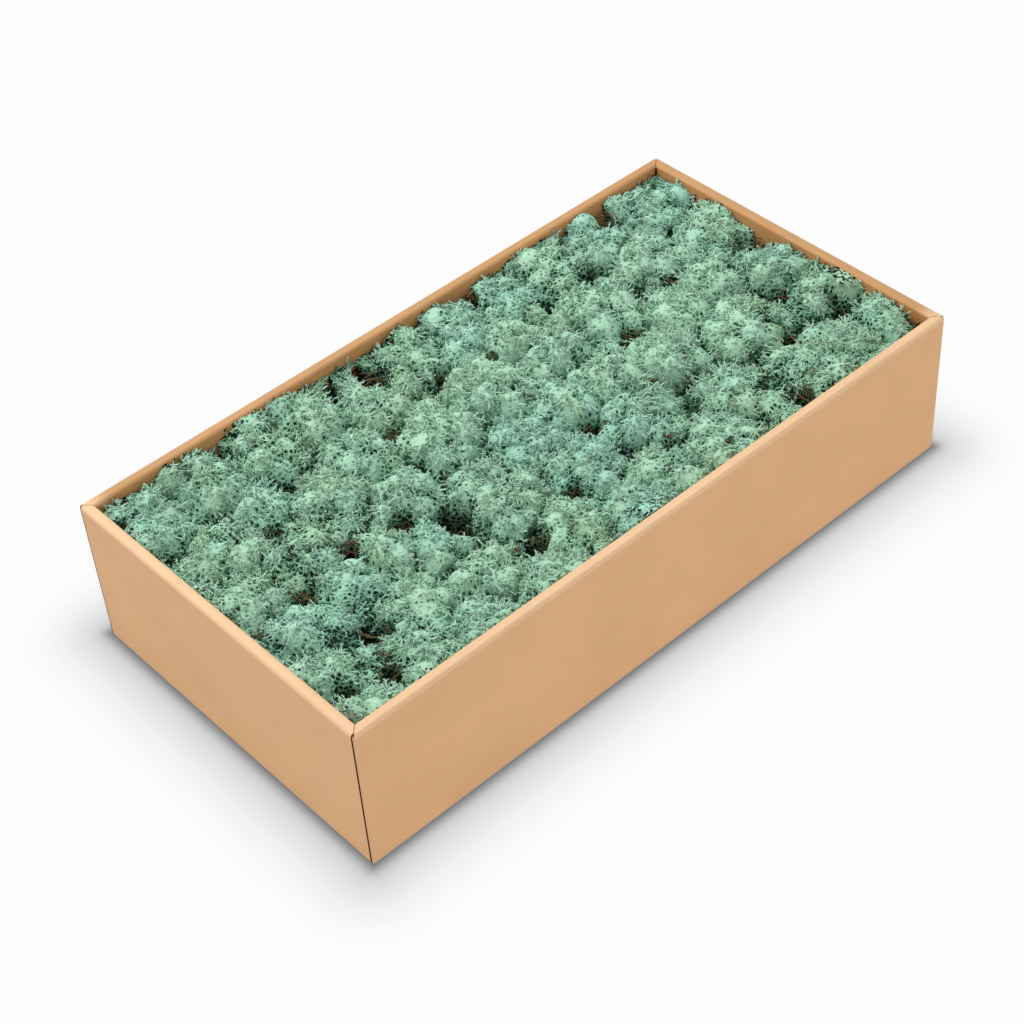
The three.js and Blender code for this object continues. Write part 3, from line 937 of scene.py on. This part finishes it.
def edge_shade(room, points):
    """Painted shade in the valleys between heads: what nearness to a head's border takes off the
    paleness, a share times the cube of how far out in the room the point lies, more in a deep valley."""
    _, edge = room.crown(points[:, :2])
    return EDGE_SHADE * (0.5 + room.sink / (VALLEY + VALLEY_SPREAD)) * np.minimum(edge, 1) ** 3


def place_shade(room, points):
    """Painted shade that hollows, tufts and the dim places take off the paleness of the moss round
    them, and painted light that the pale places add: each a share times a bell curve of the distance."""
    level = points[:, None, :2] + room.centre
    shade = np.zeros(len(points))
    for places, share in ((DIM_PLACES, -DIM_SHADE), (PALE_PLACES, PALE_SHADE)):
        apart = np.linalg.norm(level - places[:, :2], axis=2) / places[:, 2]
        shade += share * np.exp(-(apart**2)).max(axis=1)
    return shade


def cap_points(centres, radii, outwards, rng):
    """Points spread over the cap that each knob shows, and their normals."""
    turned = cap(KNOB_POINTS, KNOB_REACH, len(centres), rng)
    first, second = side_axes(outwards)
    normals = (
        outwards[:, None] * turned[..., 2:]
        + first[:, None] * turned[..., :1]
        + second[:, None] * turned[..., 1:2]
    )
    points = centres[:, None] + normals * radii[:, None, None]
    return points.reshape(-1, 3), normals.reshape(-1, 3)


def crown_points(room, spacing, rng):
    """Points of a jittered grid over a head's creases, and their normals, which lean outwards."""
    span = np.arange(-GRID_REACH, GRID_REACH, spacing / room.share)
    grid = np.stack(np.meshgrid(span, span), axis=2).reshape(-1, 2) * room.share
    grid = grid + rng.uniform(-JITTER, JITTER, grid.shape) * spacing
    crown, _ = room.crown(grid)
    normals = unit(np.column_stack([CROWN_LEAN * grid / room.share, np.ones(len(grid))]))
    return np.column_stack([grid, crown - room.crease]), normals


def flank_points(room, spacing, rng):
    """Points down a head's sides where they face a hollow, a wall or open space, and their
    normals."""
    turns = int(2 * math.pi * room.share / spacing)
    azimuth = (np.arange(turns) + rng.uniform(-JITTER, JITTER, turns)) * 2 * math.pi / turns
    directions = compass(azimuth)
    reach, drop = room.along(directions)
    open_side = drop != CREASE_DROP
    directions = directions[open_side]
    depth = np.arange(FLANK_START, FLANK_DEPTH, spacing)
    places = directions * (EDGE_SHARE * reach[open_side])[:, None]
    heights, _ = room.crown(places)
    level = np.repeat(places, len(depth), axis=0)
    heights = (heights[:, None] - depth).ravel()
    heights = heights + rng.uniform(-JITTER, JITTER, len(level)) * spacing
    normals = unit(np.column_stack([directions, np.full(len(directions), FLANK_TILT)]))
    return np.column_stack([level, heights]), np.repeat(normals, len(depth), axis=0)


def branch_roots(room, spheres, sizes, outwards, spacing, rng):
    """Where a head's branches grow: points of its knobs, its creases and its open flanks that no
    sphere buries, thinned to one in each small cell. Returns points, normals and the number of the
    lobe nearest to each."""
    sets = (
        cap_points(spheres[LOBES:], sizes[LOBES:], outwards, rng),
        crown_points(room, spacing, rng),
        flank_points(room, spacing, rng),
    )
    points, normals = (np.vstack(rows) for rows in zip(*sets))
    apart = np.linalg.norm(points[:, None] - spheres, axis=2)
    level = points[:, :2]
    crown, edge = room.crown(level)
    beside, walls = room.spare(level)
    brinks = HOLLOW_SPARE * HOLLOWS[:, 2] - MM
    in_hollow = np.linalg.norm(level[:, None] - room.hollows, axis=2) < brinks
    kept = (
        (apart > sizes - BURIED).all(axis=1)
        & (edge < 1.0)
        & (beside > 0)
        & (walls > WALL_GAP)
        & ~in_hollow.any(axis=1)
        & (points[:, 2] > room.top - DEEPEST)
        & (normals[:, 2] > DOWNWARD)
        & (points[:, 2] > crown - FLANK_DEPTH)
        & ((points[:, 2] > crown - room.crease - MM) | (edge > OPEN_EDGE))
    )
    order = rng.permutation(np.flatnonzero(kept))
    cells = np.floor(points[order] / spacing).astype(int)
    _, first = np.unique(cells, axis=0, return_index=True)
    chosen = order[first]
    points = points[chosen]
    nearest = nearest_of(points, spheres[:LOBES])
    points[:, 2] -= room.valley(points[:, :2])
    return points, normals[chosen], nearest


def tubes(lines, radii, across, sides=TUBE_SIDES):
    """Tubes with flat sides along many lines at once, closed by a fan at the root and a point at
    the tip. Each ring is its line's station plus the radius times the cosine and the sine of equal
    parts of a turn, along two directions square to the line. Returns points, faces and the number
    of points in one tube."""
    count, stations = lines.shape[:2]
    rings = stations - 1
    forward = unit(np.gradient(lines, axis=1))[:, :rings]
    first = unit(np.cross(forward, across[:, None]))
    second = np.cross(forward, first)
    angle = np.arange(sides) * 2 * math.pi / sides
    swing = (
        first[:, :, None] * np.cos(angle)[:, None] + second[:, :, None] * np.sin(angle)[:, None]
    )
    ring_points = lines[:, :rings, None] + swing * radii[:, :rings, None, None]
    points = np.concatenate([ring_points.reshape(count, -1, 3), lines[:, -1:]], axis=1)
    corner = np.arange(sides)
    after = (corner + 1) % sides
    template = [(0, fan + 1, fan) for fan in range(1, sides - 1)]
    for ring in range(rings - 1):
        low = sides * ring
        high = low + sides
        template += zip(low + corner, low + after, high + after)
        template += zip(low + corner, high + after, high + corner)
    top = sides * (rings - 1)
    template += [(top + a, top + b, sides * rings) for a, b in zip(corner, after)]
    template = np.array([tuple(int(v) for v in face) for face in template])
    size = sides * rings + 1
    faces = template[None] + (np.arange(count) * size)[:, None, None]
    return points.reshape(-1, 3), faces.reshape(-1, 3), size


def branches(points, normals, away, share, settings, rng):
    """Forked branches that rise from their roots and lie over along the surface, mostly away from
    the lobe's middle, while some stand up. A stem's station s is the root, sunk, plus the length
    times: the normal times a rise that flattens out, a direction along the surface times a run that
    grows, a sideways sweep and a perked tip. Short spikes fork off each stem, two past half way and
    two near its tip. The share shortens a branch."""
    each = (len(points), 1, 1)
    first, second = side_axes(normals)
    turn = rng.uniform(0, 2 * math.pi, (len(points), 1))
    loose = first * np.cos(turn) + second * np.sin(turn)
    outwards = away - normals * (away * normals).sum(axis=1, keepdims=True)
    ahead = unit(outwards + LOOSE * loose)
    aside = np.cross(normals, ahead)
    length = settings.branch_length * rng.uniform(*LENGTH_SPREAD, each) * share[:, None, None]
    upright = rng.random(each) < UPRIGHT_SHARE
    rise = np.where(upright, RISE[1], RISE[0]) * rng.uniform(*RISE_SPREAD, each)
    run = np.where(upright, RUN[1], RUN[0]) * rng.uniform(*LENGTH_SPREAD, each)
    sweep = rng.uniform(-SWEEP, SWEEP, each)
    perk = rng.uniform(*PERK, each)
    s = STEM_STATIONS[None, :, None]
    stem = (
        (points - normals * ROOT_SINK)[:, None]
        + length * rise * normals[:, None] * (1 - (1 - s) ** 2)
        + length * run * ahead[:, None] * s**RUN_POWER
        + length * sweep * aside[:, None] * np.sin(SWEEP_TURN * s)
        + length * perk * normals[:, None] * s**3
    )
    thick = 0.5 * settings.branch_thickness * rng.uniform(*THICK_SPREAD, (len(points), 1))
    parts = [(stem, thick * STEM_TAPER, STEM_STATIONS)]
    forward = unit(np.gradient(stem, axis=1))
    for station, ahead_share, aside_share, up_share in SPIKES:
        heading = unit(
            ahead_share * forward[:, station]
            + aside_share * rng.uniform(*LENGTH_SPREAD, (len(points), 1)) * aside
            + up_share * rng.uniform(*SPIKE_RISE_SPREAD, (len(points), 1)) * normals
        )
        tip = settings.spike_length * rng.uniform(*SPIKE_SPREAD, each) * share[:, None, None]
        line = stem[:, station][:, None] + tip * heading[:, None] * SPIKE_STEPS[None, :, None]
        start = STEM_STATIONS[station]
        parts.append((line, thick * SPIKE_TAPER, start + (1 - start) * SPIKE_STEPS))
    return parts


def core(room, spheres, sizes):
    """A head's body: rings over its surface, sunk a little, then two rings and a foot inside the
    flanks. Returns points and faces."""
    directions = compass(np.arange(CORE_TURNS) * 2 * math.pi / CORE_TURNS)
    reach, _ = room.along(directions)
    places = (CORE_RINGS[1:, None, None] * (reach[:, None] * directions)[None]).reshape(-1, 2)
    places = np.vstack([np.zeros((1, 2)), places])
    tops = np.column_stack([places, surface(room, spheres, sizes, places) - CORE_SINK])
    tops[:, 2] -= room.valley(places)
    tops[-CORE_TURNS:, :2] += CORE_LAP * directions
    edge = tops[-CORE_TURNS:]
    ribs = [np.column_stack([share * edge[:, :2], edge[:, 2] - depth]) for share, depth in CORE_RIBS]
    low = np.full(CORE_TURNS, BOARD + CLEARANCE + MM)
    foot = np.column_stack([FOOT_SHARE * CORE_FOOT * room.share * directions, low])
    points = np.vstack([tops, *ribs, foot])
    turn = np.arange(CORE_TURNS)
    after = (turn + 1) % CORE_TURNS
    faces = [np.column_stack([np.zeros_like(turn), 1 + turn, 1 + after])]
    rings = len(CORE_RINGS) - 1 + len(CORE_RIBS)
    for ring in range(rings):
        inner = 1 + ring * CORE_TURNS
        outer = inner + CORE_TURNS
        faces.append(np.column_stack([inner + turn, outer + turn, outer + after]))
        faces.append(np.column_stack([inner + turn, outer + after, inner + after]))
    last = 1 + rings * CORE_TURNS
    fan = turn[1:-1]
    faces.append(np.column_stack([np.full_like(fan, last), last + fan + 1, last + fan]))
    return points, np.vstack(faces)


def paleness(room, spheres, sizes, points, start, lift):
    """How pale the moss is at points, painted light and shade included: a start and a lift, what
    swells and places add, and what depth and nearness to the border take off."""
    return (
        start
        + lift
        + swell_shade(room, spheres, sizes, points[:, :2])
        + place_shade(room, points)
        - sunk_shade(room, points)
        - edge_shade(room, points)
    )


def held_inside(room, points):
    """A head's points, moved to its place and held under the tray's rim and inside its walls."""
    walls = room.normals[room.neighbours:]
    gaps = room.lines[room.neighbours:] - points[:, :2] @ walls.T
    points[:, :2] += np.minimum(gaps - CLEARANCE, 0) @ walls
    points[:, :2] += room.centre
    points[:, 2] = np.minimum(points[:, 2], CAD_BOX[1][2] - HEADROOM)
    return points


def grow_head(name, room, settings, material):
    """One head in place of the CAD's: its core and its branches, with its colour attributes."""
    rng = np.random.default_rng(settings.seed * SEED_STEP + room.index)
    lobes, lobe_radii = room.lobes()
    knobs, knob_radii, outwards = knobs_on(lobes, lobe_radii, rng)
    spheres = np.vstack([lobes, knobs])
    sizes = np.concatenate([lobe_radii, knob_radii])
    lobe_patch = np.clip(rng.normal(0.5, PATCH_SPREAD, LOBES), 0, 1)
    lobe_lift = rng.uniform(-LOBE_LIFT, LOBE_LIFT, LOBES) + rng.uniform(-HEAD_LIFT, HEAD_LIFT)

    body, faces = core(room, spheres, sizes)
    nearest = nearest_of(body, lobes)
    pieces = [body]
    corners = [faces]
    # The core's paleness includes painted light and shade, and starts lower, as painted shade between
    # the branches.
    colours = {
        "shade": [paleness(room, spheres, sizes, body, CORE_SHADE, lobe_lift[nearest])],
        "tint": [np.full(len(body), TINT)],
        "patch": [lobe_patch[nearest]],
        "net": [np.ones(len(body))],
    }

    points, normals, nearest = branch_roots(
        room, spheres, sizes, outwards, settings.branch_spacing, rng
    )
    # The roots carry the same painted light and shade; a tip's paleness shrinks where its root lies
    # in painted shade.
    root_shade = paleness(room, spheres, sizes, points, ROOT_SHADE, lobe_lift[nearest])
    tip_shade = TIP_SHADE * np.clip(TIP_GAIN * root_shade, TIP_LEAST, 1)
    root_tint = np.clip(rng.normal(TINT, TINT_SPREAD, len(points)), 0, 1)
    away = unit(points - lobes[nearest])
    away[:, 2] = AWAY_DIP
    start = len(body)
    share = room.beside_hollow(points[:, :2])
    for lines, radii, along in branches(points, normals, away, share, settings, rng):
        spine, faces, size = tubes(lines, radii, normals + ACROSS_NUDGE)
        shares = np.append(np.repeat(along[:-1], TUBE_SIDES), along[-1])
        pieces.append(spine)
        corners.append(faces + start)
        colours["shade"].append((root_shade[:, None] + tip_shade[:, None] * shares).ravel())
        colours["tint"].append(np.repeat(root_tint, size))
        colours["patch"].append(np.repeat(lobe_patch[nearest], size))
        colours["net"].append(np.zeros(len(spine)))
        start += len(spine)
    points = held_inside(room, np.vstack(pieces))
    colours = {label: np.clip(np.concatenate(parts), 0, 1) for label, parts in colours.items()}
    piece = mesh_object(f"{name}_branches", points, np.vstack(corners), material, **colours)
    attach(piece, BODY)
    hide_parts(name)
    return piece


# Twigs and litter


def rooms_of(heads):
    """Each head's room with its lobes and their radii."""
    rooms = [Room(heads, index) for index in range(len(heads))]
    return [(room, *room.lobes()) for room in rooms]


def ground(rooms, places):
    """The height of the moss at level places: the surface of the head whose circle has the least
    power there, which is the squared distance less the squared share."""
    centres = np.array([room.centre for room, _, _ in rooms])
    shares = np.array([room.share for room, _, _ in rooms])
    power = ((places[:, None] - centres) ** 2).sum(axis=2) - shares**2
    owner = power.argmin(axis=1)
    heights = np.empty(len(places))
    for item, place in enumerate(places):
        room, lobes, radii = rooms[owner[item]]
        heights[item] = surface(room, lobes, radii, (place - room.centre)[None])[0]
    return heights


def bowed(starts, headings, lengths, steps, rng):
    """Bent sticks: a station t of each is its start plus the length times: the heading times t, and
    a direction square to it times the bow and the square of t."""
    first, second = side_axes(headings)
    turn = rng.uniform(0, 2 * math.pi, (len(starts), 1))
    aside = first * np.cos(turn) + second * np.sin(turn)
    bend = BOW * rng.uniform(*BOW_SPREAD, (len(starts), 1, 1))
    t = np.linspace(0, 1, steps)[None, :, None]
    long = lengths[:, None, None]
    return starts[:, None] + long * (headings[:, None] * t + aside[:, None] * bend * t**2)


def stick_object(name, lines, radii, sides, shades, material):
    """One object of tubes along lines, each with its own shade."""
    across = np.tile(STICK_ACROSS, (len(lines), 1))
    points, faces, size = tubes(lines, radii, across, sides)
    points[:, 2] = np.minimum(points[:, 2], CAD_BOX[1][2] - HEADROOM)
    piece = mesh_object(name, points, faces, material, shade=np.repeat(shades, size))
    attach(piece, BODY)
    return piece


def needle_tufts(rooms, settings, material, rng):
    """Star-shaped tufts of dry needles in the gaps between lobes."""
    places = TUFTS + rng.normal(0, TUFT_STRAY, TUFTS.shape)
    roots = np.column_stack([places, ground(rooms, places) + settings.tuft_rise])
    count = len(roots)
    azimuth = rng.uniform(0, 2 * math.pi, (count, 1)) + np.arange(TUFT_NEEDLES) * GOLDEN_ANGLE
    rise = rng.uniform(*NEEDLE_RISE, (count, TUFT_NEEDLES))
    headings = unit(np.stack([np.cos(azimuth), np.sin(azimuth), rise], axis=2)).reshape(-1, 3)
    starts = np.repeat(roots, TUFT_NEEDLES, axis=0)
    lengths = settings.needle_length * rng.uniform(*NEEDLE_SPREAD, len(starts))
    lines = bowed(starts, headings, lengths, len(NEEDLE_TAPER), rng)
    radii = 0.5 * settings.needle_thickness * np.tile(NEEDLE_TAPER, (len(lines), 1))
    shades = rng.uniform(*NEEDLE_SHADES, len(lines))
    return stick_object("needle_tufts", lines, radii, NEEDLE_SIDES, shades, material)


def gap_places(rooms, rng):
    """Places of the litter at and over the deep gaps, a little under the moss beside each gap."""
    gaps = HOLLOWS[:, :2]
    reach = np.repeat(HOLLOWS[:, 2], LITTER_EACH)
    turn = rng.uniform(0, 2 * math.pi, len(reach))
    out = LITTER_REACH * reach * np.sqrt(rng.random(len(reach)))
    places = np.repeat(gaps, LITTER_EACH, axis=0)
    places = places + out[:, None] * compass(turn)
    beside = ground(rooms, gaps + BESIDE_GAP * HOLLOWS[:, 2:] * [1.0, 0.0])
    depth = rng.uniform(*LITTER_DEPTH, len(reach))
    return np.column_stack([places, np.repeat(beside, LITTER_EACH) - depth])


def crumb_places(rooms, rng):
    """Places of the crumbs, anywhere on the moss."""
    span = np.array([TRAY_HIGH.x, TRAY_HIGH.y]) - RIM - CRUMB_EDGE
    places = rng.uniform(-1, 1, (CRUMBS, 2)) * span
    return np.column_stack([places, ground(rooms, places) + CRUMB_RISE])


def loose_litter(rooms, settings, material, rng):
    """Needles and bits of twig that lie across the deep gaps, and crumbs scattered on the moss."""
    places = gap_places(rooms, rng)
    starts = np.vstack([places, crumb_places(rooms, rng)])
    spreads = [rng.uniform(*LITTER_SPREAD, len(places)), rng.uniform(*CRUMB_SPREAD, CRUMBS)]
    lengths = settings.litter_length * np.concatenate(spreads)
    azimuth = rng.uniform(0, 2 * math.pi, len(starts))
    slope = rng.uniform(-LITTER_SLOPE, LITTER_SLOPE, len(starts))
    headings = unit(np.column_stack([np.cos(azimuth), np.sin(azimuth), slope]))
    starts = starts - 0.5 * lengths[:, None] * headings
    lines = bowed(starts, headings, lengths, len(LITTER_TAPER), rng)
    edge = np.array([TRAY_HIGH.x, TRAY_HIGH.y]) - RIM - LITTER_EDGE
    lines[..., :2] = np.clip(lines[..., :2], -edge, edge)
    thick = 0.5 * settings.needle_thickness * rng.uniform(*LITTER_THICKNESS, (len(lines), 1))
    shades = rng.random(len(lines))
    radii = thick * np.array(LITTER_TAPER)
    return stick_object("loose_litter", lines, radii, LITTER_SIDES, shades, material)


def smooth_path(corners, steps):
    """A path through corners: placed by the length run so far, then averaged with its neighbours
    a few times."""
    corners = np.array(corners) * MM
    run = np.concatenate([[0], np.cumsum(np.linalg.norm(np.diff(corners, axis=0), axis=1))])
    places = np.linspace(0, run[-1], steps)
    path = np.stack([np.interp(places, run, corners[:, axis]) for axis in range(3)], axis=1)
    for _ in range(TWIG_SMOOTHINGS):
        path[1:-1] = (path[:-2] + 2 * path[1:-1] + path[2:]) / 4
    return path


def dead_twig(name, paths, material, rng):
    """A dead twig in place of the CAD's: its stem and forks as round tubes whose radius swells at
    knots, which are a few bumps along each path."""
    lines = []
    radii = []
    along = np.linspace(0, 1, TWIG_STEPS)
    taper = 1 - TWIG_TAPER * along**2
    for corners, thickness in paths:
        path = smooth_path(corners, TWIG_STEPS)
        lines.append(path + rng.normal(0, TWIG_WANDER, path.shape))
        knots = rng.uniform(*KNOT_SPAN, TWIG_KNOTS)
        bumps = np.exp(-(((along[:, None] - knots) / KNOT_WIDTH) ** 2)).sum(axis=1)
        radii.append(thickness * MM * taper * (1 + KNOT_SWELL * bumps))
    radii = np.array(radii)
    radii[:, -1] = 0
    shades = np.full(len(lines), TWIG_SHADE)
    piece = stick_object(f"{name}_bark", np.array(lines), radii, TWIG_SIDES, shades, material)
    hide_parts(name)
    return piece


# Settings, one group for each part of the scene


def number(name, description, default, unit="NONE"):
    """A number that a user would change."""
    return bpy.props.FloatProperty(name=name, description=description, default=default, unit=unit)


def hue(name, description, default):
    """A colour that a user would change: an sRGB hex code, or linear parts."""
    if isinstance(default, str):
        default = linear(default)
    return bpy.props.FloatVectorProperty(
        name=name, description=description, default=default, subtype="COLOR"
    )


class MossSettings(bpy.types.PropertyGroup):
    """The moss heads."""

    seed: bpy.props.IntProperty(name="Seed", description="Seed of the random draws", default=7)
    branch_spacing: number("Spacing", "Between branch roots", 2.45 * MM, "LENGTH")
    branch_length: number("Length", "Of a branch", 7.3 * MM, "LENGTH")
    spike_length: number("Spikes", "Length of a branch's spikes", 2.2 * MM, "LENGTH")
    branch_thickness: number("Thickness", "Of a branch at its root", 1.42 * MM, "LENGTH")
    cloud_depth: number("Clouds", "How much the paleness drifts from place to place", 0.7)
    net_scale: number("Net", "Cells of the strand net in a metre", 265.0)
    # Painted shadow deep in the gaps and painted shade in the creases.
    deep_shadow_colour: hue("Deep", "Deep in a gap", "#101d11")
    crease_shade_colour: hue("Crease", "In a crease", "#3a664d")
    stem_colour: hue("Stem", "Low on a branch", "#86ba9e")
    branch_colour: hue("Branch", "High on a branch", "#a6d1b7")
    tip_colour: hue("Tip", "At the tips", "#afd5bf")
    strand_lift: number("Strands", "How much paler the net's strands are", 0.45)
    # Painted shade between the net's strands and in its holes.
    between_drop: number("Between", "How much darker it is between the strands", 0.1)
    hole_drop: number("Holes", "How much darker the net's holes are", 0.4)
    olive_tint: hue("Olive", "Multiplied in olive patches", (0.98, 0.945, 0.87))
    blue_tint: hue("Blue", "Multiplied in bluish patches", (0.91, 0.975, 1.0))


class BoardSettings(bpy.types.PropertyGroup):
    """The folded board."""

    liner_colour: hue("Liner", "Of the flat faces", "#e3b07c")
    # Painted shade on the inner walls.
    inner_shade_tint: hue("Inner walls", "Multiplied on the inner walls", (0.8, 0.68, 0.58))
    # Painted shadow beside the slits at the corners.
    slit_shadow_colour: hue("Seams", "Beside the slits at the corners", "#5c3312")
    # A painted highlight just under the near rims.
    highlight_colour: hue("Highlighted edges", "Just under the near rims", "#ecc194")
    # The rim tops, painted lighter along the near rims and darker along the far ones.
    fold_colour: hue("Folds", "Along the near rims", "#dcb78f")
    far_fold_colour: hue("Far folds", "Along the far rims", "#b58a5c")


class LitterSettings(bpy.types.PropertyGroup):
    """The twigs, needles and crumbs."""

    needle_length: number("Needles", "Length of a tuft's needles", 6.5 * MM, "LENGTH")
    needle_thickness: number("Thickness", "Of a needle", 0.8 * MM, "LENGTH")
    tuft_rise: number("Rise", "Of a tuft over the moss", 1.2 * MM, "LENGTH")
    litter_length: number("Litter", "Length of a loose bit", 15 * MM, "LENGTH")
    dark_colour: hue("Dark", "Of the darkest bits", "#262014")
    brown_colour: hue("Brown", "Of the middling bits", "#5d5230")
    straw_colour: hue("Straw", "Of the palest bits", "#857248")


class StageSettings(bpy.types.PropertyGroup):
    """The floor and the lights."""

    floor_glow: number("Glow", "How bright the paper is", 0.982)
    shadow_reach: number("Shadow", "Reach of the contact shadow", 70 * MM, "LENGTH")
    key_power: number("Key light", "Of the large light", 36.0, "POWER")
    fill_power: number("Fill light", "Of the weak light before", 1.6, "POWER")
    sky_strength: number("Sky", "Of the even light all round", 0.8)


# Operators


class MOSSTRAY_OT_board(bpy.types.Operator):
    """Gives the tray its kraft board."""

    bl_idname = "moss_tray.board"
    bl_label = "Finish the Board"

    def execute(self, context):
        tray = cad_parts["tray"]
        tray.data.materials.clear()
        tray.data.materials.append(board_material(context.scene.moss_tray_board))
        return {"FINISHED"}


class MOSSTRAY_OT_moss(bpy.types.Operator):
    """Grows the branches of every moss head."""

    bl_idname = "moss_tray.moss"
    bl_label = "Grow the Moss"

    def execute(self, context):
        settings = context.scene.moss_tray_moss
        materials = [
            moss_material(f"preserved_{slot}", tint, settings) for slot, tint in MOSS_SLOTS
        ]
        names, heads = read_heads()
        for index, name in enumerate(names):
            kind = int(len(MOSS_SLOTS) * draw(index, KIND_DRAW))
            piece = grow_head(name, Room(heads, index), settings, materials[kind])
        return {"FINISHED"}


class MOSSTRAY_OT_litter(bpy.types.Operator):
    """Lays the dead twigs, the needle tufts and the loose litter."""

    bl_idname = "moss_tray.litter"
    bl_label = "Scatter the Litter"

    def execute(self, context):
        settings = context.scene.moss_tray_litter
        material = litter_material(settings)
        rng = np.random.default_rng(context.scene.moss_tray_moss.seed)
        _, heads = read_heads()
        rooms = rooms_of(heads)
        needle_tufts(rooms, settings, material, rng)
        loose_litter(rooms, settings, material, rng)
        for name, paths in DEAD_TWIGS.items():
            dead_twig(name, paths, material, rng)
        return {"FINISHED"}


class MOSSTRAY_OT_stage(bpy.types.Operator):
    """Lays the floor, and sets the lights and the camera."""

    bl_idname = "moss_tray.stage"
    bl_label = "Set the Stage"

    def execute(self, context):
        settings = context.scene.moss_tray_stage
        lay_floor(settings)
        set_lights(context.scene, settings)
        set_camera(context.scene)
        return {"FINISHED"}


def lay_floor(settings):
    """A level sheet of paper under the tray."""
    corners = FLOOR_HALF * np.array([[-1.0, -1, 0], [1, -1, 0], [1, 1, 0], [-1, 1, 0]])
    corners[:, 2] = CAD_BOX[0][2]
    faces = np.array([[0, 1, 2], [0, 2, 3]])
    floor = mesh_object("studio_floor", corners, faces, floor_material(settings))
    floor.visible_diffuse = False


def set_lights(scene, settings):
    """An even sky, one large light above and behind the tray, and a weak one before its long
    side."""
    world = bpy.data.worlds.new("studio_sky")
    world.use_nodes = True
    sky = world.node_tree.nodes["Background"]
    sky.inputs["Color"].default_value = (1.0, 1.0, 1.0, 1.0)
    sky.inputs["Strength"].default_value = settings.sky_strength
    scene.world = world
    lamps = (
        ("key_light", KEY_PLACE, KEY_SIZE, settings.key_power),
        ("fill_light", FILL_PLACE, FILL_SIZE, settings.fill_power),
    )
    for name, place, size, power in lamps:
        light = bpy.data.lights.new(name, "AREA")
        light.shape = "DISK"
        light.size = size
        light.energy = power
        lamp = bpy.data.objects.new(name, light)
        lamp.location = place
        lamp.rotation_euler = (-lamp.location).to_track_quat("-Z", "Y").to_euler()
        scene.collection.objects.link(lamp)


def set_camera(scene):
    """The photograph's camera, from its azimuth, elevation, roll and distance."""
    a, e, r = CAMERA_AZIMUTH, CAMERA_ELEVATION, CAMERA_ROLL
    back = Vector((math.sin(a) * math.cos(e), -math.cos(a) * math.cos(e), math.sin(e)))
    right = Vector((math.cos(a), math.sin(a), 0.0))
    up = back.cross(right)
    across = right * math.cos(r) + up * math.sin(r)
    upward = up * math.cos(r) - right * math.sin(r)
    place = back * CAMERA_DISTANCE + across * CAMERA_ASIDE + upward * CAMERA_RAISED
    lens = bpy.data.cameras.new("photo_camera")
    lens.sensor_width = SENSOR
    lens.lens = SENSOR * FOCAL_SHARE
    lens.clip_end = 50.0
    camera = bpy.data.objects.new("photo_camera", lens)
    turn = Matrix((across, upward, back)).transposed().to_4x4()
    camera.matrix_world = Matrix.Translation(place) @ turn
    scene.collection.objects.link(camera)
    scene.camera = camera
    scene.view_settings.view_transform = "Standard"


class MOSSTRAY_PT_panel(bpy.types.Panel):
    """The tray's operators and settings."""

    bl_idname = "MOSSTRAY_PT_panel"
    bl_label = "Moss Tray"
    bl_space_type = "VIEW_3D"
    bl_region_type = "UI"
    bl_category = "Moss Tray"

    def draw(self, context):
        scene = context.scene
        for operator, group in STEPS:
            box = self.layout.box()
            settings = getattr(scene, group)
            for name in type(settings).__annotations__:
                box.prop(settings, name)
            box.operator(operator.bl_idname)


STEPS = (
    (MOSSTRAY_OT_board, "moss_tray_board"),
    (MOSSTRAY_OT_moss, "moss_tray_moss"),
    (MOSSTRAY_OT_litter, "moss_tray_litter"),
    (MOSSTRAY_OT_stage, "moss_tray_stage"),
)
SETTINGS = {
    "moss_tray_board": BoardSettings,
    "moss_tray_moss": MossSettings,
    "moss_tray_litter": LitterSettings,
    "moss_tray_stage": StageSettings,
}


def register():
    """Registers the classes and hangs the settings on the scene."""
    for group, settings in SETTINGS.items():
        bpy.utils.register_class(settings)
        setattr(bpy.types.Scene, group, bpy.props.PointerProperty(type=settings))
    for operator, _ in STEPS:
        bpy.utils.register_class(operator)
    bpy.utils.register_class(MOSSTRAY_PT_panel)


def unregister():
    """Undoes register."""
    bpy.utils.unregister_class(MOSSTRAY_PT_panel)
    for operator, _ in reversed(STEPS):
        bpy.utils.unregister_class(operator)
    for group, settings in reversed(SETTINGS.items()):
        delattr(bpy.types.Scene, group)
        bpy.utils.unregister_class(settings)


def main():
    """Runs every operator in order."""
    register()
    bpy.ops.moss_tray.board()
    bpy.ops.moss_tray.moss()
    bpy.ops.moss_tray.litter()
    bpy.ops.moss_tray.stage()


if __name__ == "__main__":
    main()
